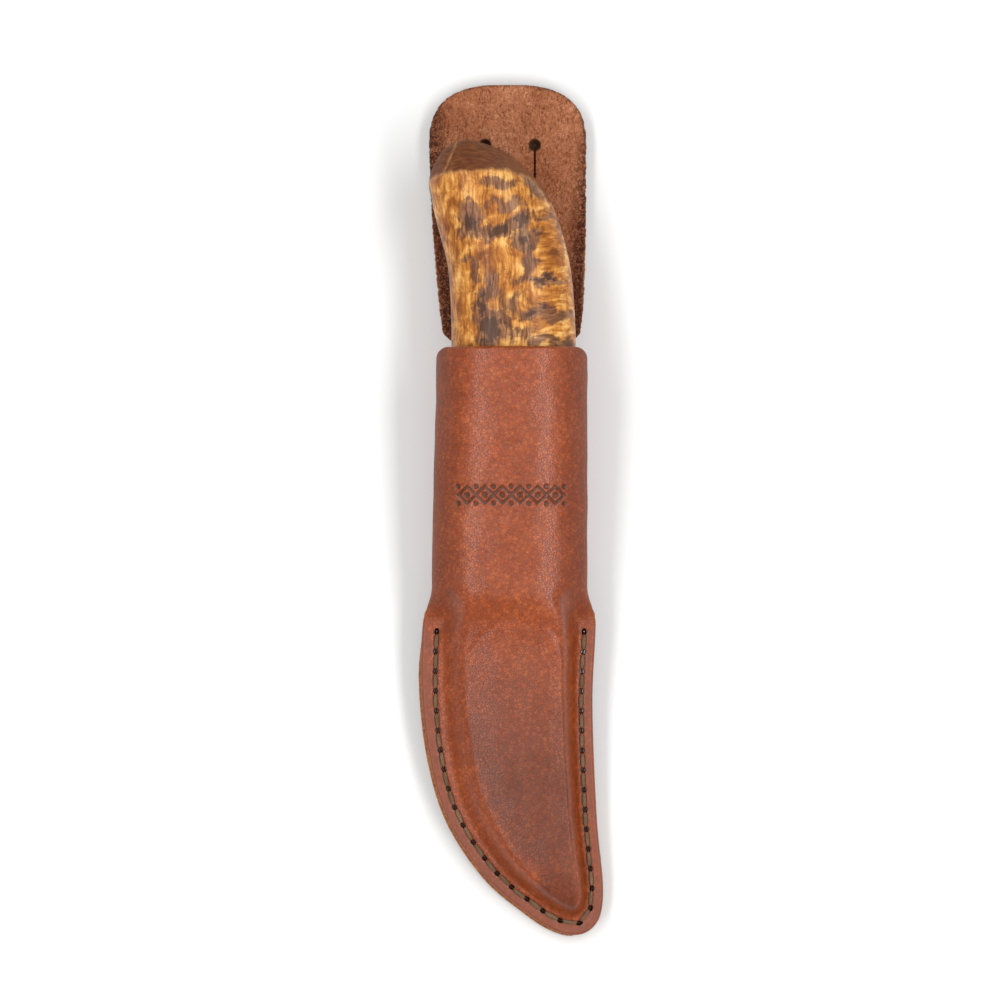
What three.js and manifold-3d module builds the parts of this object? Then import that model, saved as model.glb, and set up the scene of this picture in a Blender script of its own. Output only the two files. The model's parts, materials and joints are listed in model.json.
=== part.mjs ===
// A whittling knife in its leather sheath, lying on its back.
// Millimetres. +X is the side of the blade's back, +Y runs from the sheath's tip to its belt flap,
// +Z goes up from the table. The origin is the middle of the base of the bounding box.
// The knife leaves the sheath along its own axis, which leans up from the table by KNIFE_LEAN.

import * as THREE from "three";
import { mergeVertices } from "three/addons/utils/BufferGeometryUtils.js";
import Module from "manifold-3d";

const wasm = await Module();
wasm.setup();

// ---- Driving dimensions ----

const FRONT_LEATHER = 2.5;
const BACK_LEATHER = 2.3;
const FLANGE_LEATHER = 2.4;
const GAP = 0.3; // between pieces that touch
const STRIP_GAP = 0.55; // between the back panel and the wings under it

const FLAP_TOP_Y = 106.2;
const MOUTH_Y = 40.5;
const TIP_Y = -106.2;
const TIP_REST_Y = -104; // the blade's part of the sheath leans down to the table here
const TUBE_LEFT_X = -18.85; // at the mouth
const TUBE_RIGHT_X = 18.75;
const TUBE_SPREAD = 1.1; // how much further left the tube reaches at its lower end
const TUBE_POWER = 2.45; // of the superellipse that the tube's section follows
const TUBE_WAIST = 0.54; // height of the tube's widest line, as a share of its height
const TUBE_PRESSED = 0.8; // how much of the tube's underside is pressed flat
const BUTT_ANGLE = 179.5; // the two wings meet here, measured round from the tube's top
const FLANGE_ANGLE = 94; // the wings are cut back to here above the flange
const WING_CUT_Y = [-9, -19]; // the cut runs from the butt seam out to the tube's side
const SHOULDER_Y = [-18, -28]; // the tube turns into the flange between these
const FLANGE_HIGH = 5.1; // both layers of leather at the seam
const RIDGE_X = 9; // the moulded part is highest over the blade's back
const RIDGE_FALL = 0.07; // slope from there down to the left
const FLANGE_LEFT = 3.8; // from the edge to where the moulded part starts
const FLANGE_RIGHT = 3.65;

const STRIP_ANGLE = 62; // half the arc of the back panel inside the tube
const STRIP_EDGE = 0.9; // its thickness where its sides are skived
const STRIP_WIDE_Y = [-18.5, -26]; // it widens to the whole outline between these
const STRIP_RISE_Y = [-21, -33]; // and comes up flat behind the blade between these
const FLAP_FLAT_Y = 78; // the flap's sides stop curling here
const FLAP_FLARE = 4; // past the mouth, the flap reaches its own width in this length
const FLAP_CORNER_Y = 91; // its rounded top starts here
const FLAP_CORNER_POWER = 2.7;

const SLIT_X = [-6.7, 5.7];
const SLIT_Y = [46, 91.2];
const SLIT_WIDTH = 0.5;
const SLIT_HOLE_R = 1.45;

const SEAM_STITCHES = 33;
const SEAM_START_Y = -29.8;
const SEAM_INSET = 2.85;
const SEAM_INSET_MORE = 0.8; // extra on the left, high up
const WING_SEAM_X = 3.5;
const WING_SEAM_Y = [-5, 35];
const WING_STITCH = 5;
const THREAD_R = 0.3;
const STITCH_GAP = 0.6; // from a hole's middle to where the thread is up again
const HOLE_LONG = 2.1;
const HOLE_WIDE = 1.35;
const GROOVE_WIDE = 1.6;
const GROOVE_DEEP = 0.95;
const THREAD_SUNK = 0.45; // from the face that a groove is cut in, to the middle of its thread

const KNIFE_LEAN = 5; // degrees
const KNIFE_Y = -20; // the handle's front end, on the knife's axis
const KNIFE_Z = 13.5;
const HANDLE_LENGTH = 112.4;
const HANDLE_POWER = 2.2;
const BORE_LENGTH = 88;
const BORE = [13, 7.2]; // width and thickness at the handle's front end
const BORE_END = [8, 5.2];
const BLADE_LENGTH = 75;
const BLADE_THICK = 3;
const BLADE_EDGE = 0.15;
const BEVEL_SHARE = 0.42; // of the blade's width
const BACK_SHARE = 0.9; // of the blade's thickness that is left at its back
const TANG_LENGTH = 82;
const TANG = [10, 3];
const TANG_END = [5, 2.2];
const LINER_WALL = 0.8;
const LINER_SKIN = 0.9;
const LINER_CORNERS = [0.7, 0.9]; // cut off its upper edges, left and right
const SLOT_PLAY = 0.35;

const RAD = Math.PI / 180;
const LEAN = KNIFE_LEAN * RAD;

// ---- Small helpers ----

const mix = (a, b, t) => a + (b - a) * t;
const clamp01 = (t) => Math.min(1, Math.max(0, t));

// 0 at from, 1 at to, level at both ends.
function ease(from, to, value) {
  const t = clamp01((value - from) / (to - from));
  return t * t * (3 - 2 * t);
}

function signedPower(value, power) {
  return Math.sign(value) * Math.abs(value) ** power;
}

// A smooth function through [at, value] pairs, in order of at.
function through(pairs) {
  const slope = (i) => {
    const a = pairs[Math.max(0, i - 1)];
    const b = pairs[Math.min(pairs.length - 1, i + 1)];
    return (b[1] - a[1]) / (b[0] - a[0]);
  };
  return (at) => {
    const last = pairs.length - 1;
    if (at <= pairs[0][0]) return pairs[0][1];
    if (at >= pairs[last][0]) return pairs[last][1];
    const i = pairs.findIndex((pair) => pair[0] > at) - 1;
    const [a, b] = [pairs[i], pairs[i + 1]];
    const span = b[0] - a[0];
    const t = (at - a[0]) / span;
    const [t2, t3] = [t * t, t * t * t];
    return (2 * t3 - 3 * t2 + 1) * a[1] + (t3 - 2 * t2 + t) * span * slope(i)
      + (3 * t2 - 2 * t3) * b[1] + (t3 - t2) * span * slope(i + 1);
  };
}

// A smooth line through [x, y] points, as many short steps.
function outlineThrough(points) {
  const vectors = points.map(([x, y]) => new THREE.Vector3(x, y, 0));
  const curve = new THREE.CatmullRomCurve3(vectors, false, "centripetal");
  return curve.getPoints(points.length * 24).map((p) => [p.x, p.y]);
}

// The lowest and highest x where an outline crosses the line at y.
function crossings(outline, y) {
  const found = [];
  for (let i = 0; i + 1 < outline.length; i++) {
    const [a, b] = [outline[i], outline[i + 1]];
    if (a[1] === b[1] || (a[1] - y) * (b[1] - y) > 0) continue;
    found.push(mix(a[0], b[0], (y - a[1]) / (b[1] - a[1])));
  }
  return [Math.min(...found), Math.max(...found)];
}

function distanceTo(line, x, y) {
  let best = Infinity;
  for (let i = 0; i + 1 < line.length; i++) {
    const [a, b] = [line[i], line[i + 1]];
    const [dx, dy] = [b[0] - a[0], b[1] - a[1]];
    const t = clamp01(((x - a[0]) * dx + (y - a[1]) * dy) / (dx * dx + dy * dy || 1));
    best = Math.min(best, Math.hypot(x - a[0] - t * dx, y - a[1] - t * dy));
  }
  return best;
}

// ---- Solids ----

function volumeOf(points, faces) {
  let sum = 0;
  const [a, b, c] = [new THREE.Vector3(), new THREE.Vector3(), new THREE.Vector3()];
  for (const [i, j, k] of faces) {
    a.set(...points[i]);
    b.set(...points[j]);
    c.set(...points[k]);
    sum += a.dot(b.cross(c)) / 6;
  }
  return sum;
}

// A solid from points and triangles, turned so that its faces point out.
function solid(points, faces) {
  const outward = volumeOf(points, faces) > 0 ? faces : faces.map(([i, j, k]) => [i, k, j]);
  const mesh = new wasm.Mesh({
    numProp: 3,
    vertProperties: new Float32Array(points.flat()),
    triVerts: new Uint32Array(outward.flat()),
  });
  return new wasm.Manifold(mesh);
}

function solidOf(geometry) {
  const bare = geometry.clone();
  bare.deleteAttribute("normal");
  bare.deleteAttribute("uv");
  const merged = mergeVertices(bare, 1e-4);
  const mesh = new wasm.Mesh({
    numProp: 3,
    vertProperties: new Float32Array(merged.attributes.position.array),
    triVerts: new Uint32Array(merged.index.array),
  });
  return new wasm.Manifold(mesh);
}

function geometryOf(manifold) {
  const mesh = manifold.getMesh();
  const geometry = new THREE.BufferGeometry();
  geometry.setAttribute("position", new THREE.BufferAttribute(mesh.vertProperties, 3));
  geometry.setIndex(new THREE.BufferAttribute(mesh.triVerts, 1));
  return geometry;
}

// A solid through closed loops of the same length; convex ends are closed with fans.
function loft(loops) {
  const count = loops[0].length;
  const faces = [];
  for (let i = 0; i + 1 < loops.length; i++) {
    for (let j = 0; j < count; j++) {
      const next = (j + 1) % count;
      const [a, b] = [i * count + j, i * count + next];
      faces.push([a, b, b + count], [a, b + count, a + count]);
    }
  }
  const end = (loops.length - 1) * count;
  for (let j = 1; j + 1 < count; j++) {
    faces.push([0, j + 1, j], [end, end + j, end + j + 1]);
  }
  return solid(loops.flat(), faces);
}

// A sheet with thickness: each station has an outer and an inner row of as many points.
function sheet(stations) {
  const count = stations[0].outer.length;
  const loops = stations.map(({ outer, inner }) => [...outer, ...[...inner].reverse()]);
  const size = 2 * count;
  const faces = [];
  for (let i = 0; i + 1 < loops.length; i++) {
    for (let j = 0; j < size; j++) {
      const next = (j + 1) % size;
      const [a, b] = [i * size + j, i * size + next];
      faces.push([a, b, b + size], [a, b + size, a + size]);
    }
  }
  const end = (loops.length - 1) * size;
  for (let j = 0; j + 1 < count; j++) {
    const opposite = size - 1 - j;
    faces.push([j, opposite, opposite - 1], [j, opposite - 1, j + 1]);
    const [a, b] = [end + j, end + opposite];
    faces.push([a, b - 1, b], [a, a + 1, b - 1]);
  }
  return solid(loops.flat(), faces);
}

// A row of [x, z] points moved sideways by a thickness; positive goes to the row's right.
function offsetRow(row, thickness) {
  return row.map(([x, z], i) => {
    const a = row[Math.max(0, i - 1)];
    const b = row[Math.min(row.length - 1, i + 1)];
    const [dx, dz] = [b[0] - a[0], b[1] - a[1]];
    const length = Math.hypot(dx, dz);
    const t = typeof thickness === "number" ? thickness : thickness[i];
    return [x + (dz / length) * t, z - (dx / length) * t];
  });
}

function box(low, high) {
  const geometry = new THREE.BoxGeometry(high[0] - low[0], high[1] - low[1], high[2] - low[2]);
  geometry.translate((low[0] + high[0]) / 2, (low[1] + high[1]) / 2, (low[2] + high[2]) / 2);
  return solidOf(geometry);
}

// ---- The sheath's outline and the seam ----

// The underside of the blade's part of the sheath, which lies parallel to the blade.
const seatZ = (y) => Math.max(0, (y - TIP_REST_Y) * Math.tan(LEAN));

const LOWER_POINTS = [
  [18.9, -12], [19.4, -19], [20.75, -25], [20.1, -48], [21.2, -77], [22.75, -97],
  [21.4, -102.9], [18.3, -105.7], [14.5, TIP_Y], [9.2, -104.4], [2.75, -100],
  [-6, -92.5], [-16, -77.5], [-21, -60], [-22.75, -40], [-21.9, -25], [-20.6, -18.5], [-19.9, -12],
];
const LOWER_OUTLINE = outlineThrough(LOWER_POINTS);
const TURN = LOWER_OUTLINE.findIndex((p) => p[1] < -104.5 && p[0] < 20);
const RIGHT_EDGE = LOWER_OUTLINE.slice(0, TURN + 1);
const LEFT_EDGE = LOWER_OUTLINE.slice(TURN);

// The seam follows the edge at a small distance, from the left shoulder round the tip to the right.
function seamLine() {
  const line = [];
  for (let i = LOWER_OUTLINE.length - 2; i > 0; i--) {
    const [a, b] = [LOWER_OUTLINE[i + 1], LOWER_OUTLINE[i - 1]];
    const [dx, dy] = [b[0] - a[0], b[1] - a[1]];
    const length = Math.hypot(dx, dy);
    const [x, y] = LOWER_OUTLINE[i];
    const extra = x < 0 ? SEAM_INSET_MORE * ease(-75, -35, y) : 0;
    const inset = SEAM_INSET + extra;
    const point = [x - (dy / length) * inset, y + (dx / length) * inset];
    if (point[1] < SEAM_START_Y) line.push(point);
  }
  return line;
}

// Points at an even pitch along a line, each with the line's direction there.
function paced(line, steps, baseOf) {
  const along = [0];
  for (let i = 1; i < line.length; i++) {
    along.push(along[i - 1] + Math.hypot(line[i][0] - line[i - 1][0], line[i][1] - line[i - 1][1]));
  }
  const total = along[along.length - 1];
  const found = [];
  for (let k = 0; k <= steps; k++) {
    const at = (total * k) / steps;
    const i = Math.min(line.length - 2, Math.max(0, along.findIndex((s) => s > at) - 1));
    const j = at >= total ? line.length - 2 : i;
    const t = (at - along[j]) / (along[j + 1] - along[j]);
    const [a, b] = [line[j], line[j + 1]];
    const length = Math.hypot(b[0] - a[0], b[1] - a[1]);
    found.push({
      x: mix(a[0], b[0], t),
      y: mix(a[1], b[1], t),
      dx: (b[0] - a[0]) / length,
      dy: (b[1] - a[1]) / length,
      base: baseOf(mix(a[1], b[1], t)),
    });
  }
  return found;
}

const SEAM_HOLES = paced(seamLine(), SEAM_STITCHES, seatZ);

function wingHoles(x) {
  const steps = Math.round((WING_SEAM_Y[1] - WING_SEAM_Y[0]) / WING_STITCH);
  return paced([[x, WING_SEAM_Y[0]], [x, WING_SEAM_Y[1]]], steps, () => 0);
}

const LEFT_WING_HOLES = wingHoles(-WING_SEAM_X);
const RIGHT_WING_HOLES = wingHoles(WING_SEAM_X);

// ---- The knife's own sizes, along its axis from the handle's front end ----

const knifeAxisZ = (y) => KNIFE_Z + (y - KNIFE_Y) * Math.tan(LEAN);

const HANDLE_POINTS = [
  [13.6, 0], [15.2, 20], [15.8, 45], [15.9, 61], [15.6, 69], [14.85, 78.5], [13.4, 86], [11, 93.6],
  [8, 99.8], [2.7, 106.1], [-2.75, 109.9], [-8.25, 111.9], [-12, HANDLE_LENGTH], [-16.3, 110.5],
  [-19.2, 106.6], [-20.7, 102], [-19.7, 96], [-18.4, 90.6], [-16.2, 82], [-15.3, 72],
  [-15.1, 61], [-15, 45], [-14.3, 20], [-13, 0],
];
const HANDLE_OUTLINE = outlineThrough(HANDLE_POINTS);
const handleHalfHeight = through([[0, 7.8], [20, 9.3], [40, 10.6], [61, 11.2], [80, 11.3], [102, 12]]);

const bladeBack = through([[-BLADE_LENGTH, 11.2], [-50, 9.9], [-20, 9.1], [0, 9]]);
const bladeEdge = through([
  [-BLADE_LENGTH, 11], [-73.4, 8.8], [-69, 4.8], [-62, -0.3],
  [-53, -4.9], [-42, -8.2], [-26, -9.9], [0, -10.4],
]);
const bladeThickness = through([
  [-BLADE_LENGTH, 0.7], [-60, 2.4], [-30, BLADE_THICK], [0, BLADE_THICK],
]);

// ---- The sheath's leather ----

// The top of the tube's leather, which follows the handle that it was moulded round.
function tubeTopZ(y) {
  const along = (y - KNIFE_Y) / Math.cos(LEAN);
  return knifeAxisZ(y) + handleHalfHeight(along) + GAP + FRONT_LEATHER;
}

function tubePoint(y, degrees) {
  const left = TUBE_LEFT_X - (TUBE_SPREAD * (MOUTH_Y - y)) / (MOUTH_Y - WING_CUT_Y[1]);
  const [middle, half] = [(left + TUBE_RIGHT_X) / 2, (TUBE_RIGHT_X - left) / 2];
  const [top, angle] = [tubeTopZ(y), degrees * RAD];
  const waist = top * TUBE_WAIST;
  const rise = Math.cos(angle) > 0 ? top - waist : waist + TUBE_PRESSED;
  const x = middle + half * signedPower(Math.sin(angle), 2 / TUBE_POWER);
  const z = waist + rise * signedPower(Math.cos(angle), 2 / TUBE_POWER);
  return [x, Math.max(0, z)];
}

const domeRidgeZ = through([
  [-103, 9.9], [-96, 12.9], [-80, 14.7], [-60, 16.4], [-42, 18.1], [-32, 20.1], [-20, tubeTopZ(-20)],
]);
const leftRise = through([[-98, 3.6], [-85, 5.5], [-60, 7], [-30, 7], [-20, 7]]);
const rightRise = through([[-100, 2.5], [-80, 3.3], [-60, 3.7], [-45, 4.1], [-30, 5.2], [-20, 7]]);

// The outer face of the front panel below the tube: a flange, and a dome moulded over the blade.
function domeZ(x, y) {
  const left = ease(0, leftRise(y), distanceTo(LEFT_EDGE, x, y) - FLANGE_LEFT);
  const right = ease(0, rightRise(y), distanceTo(RIGHT_EDGE, x, y) - FLANGE_RIGHT);
  const fall = RIDGE_FALL * Math.max(0, RIDGE_X - x);
  const flange = seatZ(y) + FLANGE_HIGH;
  return flange + (domeRidgeZ(y) - fall - flange) * left * right;
}

function frontStation(y) {
  const steps = 12;
  const cutShare = clamp01((y - WING_CUT_Y[0]) / (WING_CUT_Y[1] - WING_CUT_Y[0]));
  const end = mix(BUTT_ANGLE, FLANGE_ANGLE, cutShare);
  const flared = ease(...SHOULDER_Y, y);
  const [left, right] = y < -12 ? crossings(LOWER_OUTLINE, y) : [0, 0];
  const row = [];
  for (let i = -steps; i <= steps; i++) {
    const tube = tubePoint(y, (i / steps) * end);
    const x = mix(left, right, (1 + Math.sin((i / steps) * 90 * RAD)) / 2);
    const dome = flared > 0 ? [x, domeZ(x, y)] : tube;
    row.push([mix(tube[0], dome[0], flared), mix(tube[1], dome[1], flared)]);
  }
  const thick = mix(FRONT_LEATHER, FLANGE_LEATHER, flared);
  const place = ([x, z]) => [x, y, z];
  return { outer: row.map(place), inner: offsetRow(row, thick).map(place) };
}

const FRONT_STATIONS = [
  MOUTH_Y, 30, 20, 10, 0, -9, -10.2, -11.5, -13, -15, -17, -19, -21, -23, -25, -27, -30, -34, -40, -47,
  -54, -61, -68, -74, -80, -85, -89, -92.5, -95.5, -98, -100.2, -102, -103.6, -104.8, -105.6, -106.05,
];

const flapHalf = through([
  [MOUTH_Y, 17], [46, 17.6], [52, 18.3], [67, 19.1], [85, 19.5], [FLAP_CORNER_Y, 19.6],
]);

function flapSides(y) {
  const middle = mix(-0.1, -1.1, ease(MOUTH_Y, 94, y));
  const straight = flapHalf(y);
  const up = clamp01((y - FLAP_CORNER_Y) / (FLAP_TOP_Y + 0.1 - FLAP_CORNER_Y));
  const half = straight * (1 - up ** FLAP_CORNER_POWER) ** (1 / FLAP_CORNER_POWER);
  return [middle - half, middle + half];
}

function backStation(y) {
  const steps = 6;
  const rows = { lower: [], thick: [] };
  const flatFlap = ease(MOUTH_Y, FLAP_FLAT_Y, y);
  const fullFlap = ease(MOUTH_Y, MOUTH_Y + FLAP_FLARE, y);
  const wide = ease(...STRIP_WIDE_Y, y);
  const risen = ease(...STRIP_RISE_Y, y);
  const flap = flapSides(y);
  const lower = y < -12 ? crossings(LOWER_OUTLINE, y) : flap;
  const tube = [];
  for (let i = -steps; i <= steps; i++) tube.push(tubePoint(y, 180 + (i / steps) * STRIP_ANGLE));
  const inside = offsetRow(tube, FRONT_LEATHER + STRIP_GAP);
  for (let i = 0; i <= 2 * steps; i++) {
    const across = i / (2 * steps);
    const skived = mix(BACK_LEATHER, STRIP_EDGE, Math.abs(2 * across - 1) ** 2);
    // The row runs from right to left, as the tube's own row does here.
    let point = inside[i];
    let thick = skived;
    if (flatFlap > 0) {
      const flat = [mix(flap[1], flap[0], across), FRONT_LEATHER + STRIP_GAP];
      point = [mix(point[0], flat[0], fullFlap), mix(point[1], flat[1], flatFlap)];
      thick = mix(skived, BACK_LEATHER, flatFlap);
    }
    if (wide > 0) {
      const flat = [mix(lower[1], lower[0], across), seatZ(y)];
      point = [mix(point[0], flat[0], wide), mix(point[1], flat[1], risen)];
      thick = mix(skived, FLANGE_LEATHER, wide);
    }
    rows.lower.push(point);
    rows.thick.push(thick);
  }
  const place = ([x, z]) => [x, y, z];
  return { outer: rows.lower.map(place), inner: offsetRow(rows.lower, rows.thick).map(place) };
}

const BACK_STATIONS = [
  FLAP_TOP_Y, 106, 105.5, 104.6, 103.2, 101.2, 98.5, 95, FLAP_CORNER_Y, 84, FLAP_FLAT_Y, 70, 63, 56, 50,
  46, 44.8, 43.6, 42.4, MOUTH_Y, 30, 15, 0, -10, -15, -18.5, -20, -21.5, -23, -24.5, -26, -28, -30.5, -33,
  -40, -50, -60, -68, -75, -81, -86, -90, -93.5, -96.5, -99, -101, -102.8, -104.2, -105.3, -106.05,
];

// ---- Holes, grooves and thread ----

// Heights here count from the surface that the row lies on, which the hole's base gives.
function awlHole(hole, low, high) {
  const geometry = new THREE.BoxGeometry(HOLE_LONG, HOLE_WIDE, high - low);
  geometry.rotateZ(Math.atan2(hole.dy, hole.dx));
  geometry.translate(hole.x, hole.y, hole.base + (low + high) / 2);
  return solidOf(geometry);
}

function groove(holes, low, high) {
  const half = GROOVE_WIDE / 2;
  const reach = HOLE_LONG / 2;
  const loops = holes.map((hole, i) => {
    const push = i === 0 ? -reach : i === holes.length - 1 ? reach : 0;
    const [x, y] = [hole.x + hole.dx * push, hole.y + hole.dy * push];
    const [sx, sy] = [-hole.dy * half, hole.dx * half];
    const [z0, z1] = [hole.base + low, hole.base + high];
    return [[x - sx, y - sy, z0], [x + sx, y + sy, z0], [x + sx, y + sy, z1], [x - sx, y - sy, z1]];
  });
  return loft(loops);
}

function cutAll(body, cutters) {
  return cutters.reduce((left, cutter) => left.subtract(cutter), body);
}

// One thread of a lockstitch row: along the face, and down into every hole.
function stitchedThread(holes, run, dip) {
  const path = [];
  holes.forEach((hole, i) => {
    const at = (shift, z) => [hole.x + hole.dx * shift, hole.y + hole.dy * shift, hole.base + z];
    if (i > 0) path.push({ p: at(-STITCH_GAP, run), hole });
    path.push({ p: at(0, dip), hole });
    if (i < holes.length - 1) path.push({ p: at(STITCH_GAP, run), hole });
  });
  const points = path.map((step) => new THREE.Vector3(...step.p));
  const loops = path.map(({ hole }, i) => {
    const before = points[i].clone().sub(points[Math.max(0, i - 1)]).normalize();
    const after = points[Math.min(points.length - 1, i + 1)].clone().sub(points[i]).normalize();
    const along = before.clone().add(after).normalize();
    const side = new THREE.Vector3(-hole.dy, hole.dx, 0);
    const up = side.clone().cross(along).normalize();
    const leg = i === 0 ? after : before;
    const stretch = 1 / Math.max(0.35, leg.dot(along));
    const corner = (a, b) => points[i].clone()
      .addScaledVector(side, a * THREAD_R)
      .addScaledVector(up, b * THREAD_R * stretch)
      .toArray();
    return [corner(-1, -1), corner(1, -1), corner(1, 1), corner(-1, 1)];
  });
  return loft(loops);
}

// ---- Sub-parts ----

const REACH = 60; // cutters reach this far past what they cut
const BACK_TOP_Z = FRONT_LEATHER + STRIP_GAP + BACK_LEATHER;

function frontPanel() {
  const cutters = [
    ...SEAM_HOLES.map((hole) => awlHole(hole, 2, FLANGE_HIGH + 3)),
    ...[LEFT_WING_HOLES, RIGHT_WING_HOLES].flatMap((holes) => [
      groove(holes, -1, GROOVE_DEEP),
      ...holes.map((hole) => awlHole(hole, -1, FRONT_LEATHER + 1)),
    ]),
  ];
  return cutAll(sheet(FRONT_STATIONS.map(frontStation)), cutters);
}

function beltSlit(x) {
  const slit = box([x - SLIT_WIDTH / 2, SLIT_Y[0], -1], [x + SLIT_WIDTH / 2, SLIT_Y[1], 12]);
  const ends = SLIT_Y.map((y) => {
    const geometry = new THREE.CylinderGeometry(SLIT_HOLE_R, SLIT_HOLE_R, 14, 12);
    geometry.rotateX(90 * RAD);
    geometry.translate(x, y, 6);
    return solidOf(geometry);
  });
  return ends.reduce((all, end) => all.add(end), slit);
}

function backPanel() {
  const cutters = [
    ...SLIT_X.map(beltSlit),
    groove(SEAM_HOLES, -1, GROOVE_DEEP),
    ...SEAM_HOLES.map((hole) => awlHole(hole, -1, FLANGE_LEATHER + 1)),
    ...[LEFT_WING_HOLES, RIGHT_WING_HOLES].flatMap((holes) => [
      groove(holes, BACK_TOP_Z - GROOVE_DEEP, BACK_TOP_Z + 2),
      ...holes.map((hole) => awlHole(hole, 1, BACK_TOP_Z + 2)),
    ]),
  ];
  return cutAll(sheet(BACK_STATIONS.map(backStation)), cutters);
}

function taperedBar(startY, endY, start, end) {
  const ring = (y, [width, thick]) => {
    const [x, z] = [width / 2, thick / 2];
    return [[-x, y, -z], [x, y, -z], [x, y, z], [-x, y, z]];
  };
  return loft([ring(startY, start), ring(endY, end)]);
}

// Cuts away what lies past a plane through a point.
function trimmed(body, point, normal) {
  const geometry = new THREE.BoxGeometry(2 * REACH, 2 * REACH, 2 * REACH);
  geometry.translate(0, REACH, 0);
  const out = new THREE.Vector3(...normal).normalize();
  const turn = new THREE.Quaternion().setFromUnitVectors(new THREE.Vector3(0, 1, 0), out);
  geometry.applyQuaternion(turn);
  geometry.translate(...point);
  return body.subtract(solidOf(geometry));
}

// The flats cut on the handle's end, on the front face; the back face has the same.
const BUTT_FLATS = [
  { point: [-5, 105.4, 11.8], normal: [0, 0.79, 0.61] },
  { point: [5, 101.9, 10.6], normal: [0.5, 0.74, 0.45] },
  { point: [-17, 105, 9.4], normal: [-0.72, 0.47, 0.51] },
];

function handle() {
  const stations = [
    0, 10, 20, 32, 45, 61, 70, 78, 85, 90, 94, 97.5, 100.5, 103, 105.4, 107.6, 109.4, 110.8, 111.7, 112.2,
  ];
  const sides = 28;
  const loops = stations.map((y) => {
    const [left, right] = crossings(HANDLE_OUTLINE, y + 0.001);
    const half = handleHalfHeight(y);
    const ring = [];
    for (let i = 0; i < sides; i++) {
      const angle = (i / sides) * 360 * RAD;
      const x = (left + right) / 2 + ((right - left) / 2) * signedPower(Math.sin(angle), 2 / HANDLE_POWER);
      ring.push([x, y, half * signedPower(Math.cos(angle), 2 / HANDLE_POWER)]);
    }
    return ring;
  });
  const bored = loft(loops).subtract(taperedBar(-1, BORE_LENGTH, BORE, BORE_END));
  return BUTT_FLATS.reduce((left, { point, normal }) => {
    const behind = [[point[0], point[1], -point[2]], [normal[0], normal[1], -normal[2]]];
    return trimmed(trimmed(left, point, normal), ...behind);
  }, bored);
}

function blade() {
  const stations = [-BLADE_LENGTH, -74, -72, -69.5, -66, -61, -55, -48, -40, -31, -20, -10, -GAP];
  const loops = stations.map((y) => {
    const [back, edge, thick] = [bladeBack(y), bladeEdge(y), bladeThickness(y) / 2];
    const bevel = mix(edge, back, BEVEL_SHARE);
    const fine = Math.min(BLADE_EDGE / 2, thick);
    const narrow = thick * BACK_SHARE;
    return [
      [edge, y, -fine], [bevel, y, -thick], [back, y, -narrow],
      [back, y, narrow], [bevel, y, thick], [edge, y, fine],
    ];
  });
  return loft(loops).add(taperedBar(-2, TANG_LENGTH, TANG, TANG_END));
}

function tangEpoxy() {
  const less = ([width, thick], gap) => [width - 2 * gap, thick - 2 * gap];
  const outside = taperedBar(0, BORE_LENGTH - GAP, less(BORE, GAP), less(BORE_END, GAP));
  return outside.subtract(taperedBar(-1, TANG_LENGTH + GAP, less(TANG, -GAP), less(TANG_END, -GAP)));
}

// Half the slot's thickness, which narrows from SLOT_FULL_X towards the blade's edge.
const SLOT_FULL_X = 2;
const SLOT_NARROW_X = -10;
const SLOT_NARROW = 0.45;

function slotHalf(x) {
  const share = clamp01((x - SLOT_NARROW_X) / (SLOT_FULL_X - SLOT_NARROW_X));
  return (mix(SLOT_NARROW, 1, share) * BLADE_THICK) / 2 + SLOT_PLAY;
}

// Where the liner's and the slot's right side lies; the slot is straight, so that the blade can leave it.
const SLOT_RIGHT_X = bladeBack(-BLADE_LENGTH) + 2 * SLOT_PLAY;

// The room that the blade and its way out take, in the knife's own frame.
function bladeSlot() {
  const stations = [-BLADE_LENGTH - 0.8, -73.4, -69, -62, -53, -42, -26, 0, 20];
  const loops = stations.map((y) => {
    const low = bladeEdge(Math.min(0, y)) - 2 * SLOT_PLAY;
    const turn = Math.max(SLOT_FULL_X, mix(low, SLOT_RIGHT_X, 0.5));
    const row = [low, turn, SLOT_RIGHT_X];
    return [...row.map((x) => [x, y, -slotHalf(x)]), ...row.reverse().map((x) => [x, y, slotHalf(x)])];
  });
  return loft(loops);
}

const KNIFE_PLACE = new THREE.Matrix4()
  .makeRotationX(LEAN)
  .setPosition(0, KNIFE_Y, KNIFE_Z);

// The stiff insert that beds the blade, a flat pocket that is thinner towards the blade's edge.
function bladeLiner() {
  const stations = [-22.2, -32, -46, -60, -72, -80, -85, -89, -92.5, -94.8, -96];
  const high = SLOT_RIGHT_X + LINER_WALL;
  const loops = stations.map((y) => {
    const along = Math.max(-BLADE_LENGTH, (y - KNIFE_Y) / Math.cos(LEAN));
    const low = bladeEdge(along) - 2 * SLOT_PLAY - LINER_WALL;
    const middle = knifeAxisZ(y);
    const foot = Math.max(seatZ(y) + FLANGE_LEATHER + GAP, middle - slotHalf(high) - LINER_SKIN);
    return [
      [low, y, foot],
      [high, y, foot],
      [high, y, middle],
      [high - LINER_CORNERS[1], y, middle + slotHalf(high) + LINER_SKIN],
      [low + LINER_CORNERS[0], y, middle + slotHalf(low) + LINER_SKIN],
    ];
  });
  const slot = bladeSlot().transform(KNIFE_PLACE.elements);
  return loft(loops).subtract(slot);
}

// ---- The assembly ----

const LEATHER_COLOUR = 0x9a4f33;
const SUEDE_COLOUR = 0x8a5443;
const WOOD_COLOUR = 0xa8692c;
const STEEL_COLOUR = 0xa9adb2;
const PLASTIC_COLOUR = 0x22221f;
const EPOXY_COLOUR = 0xc9a75c;
const THREAD_COLOUR = 0x7a6a4a;

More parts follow.
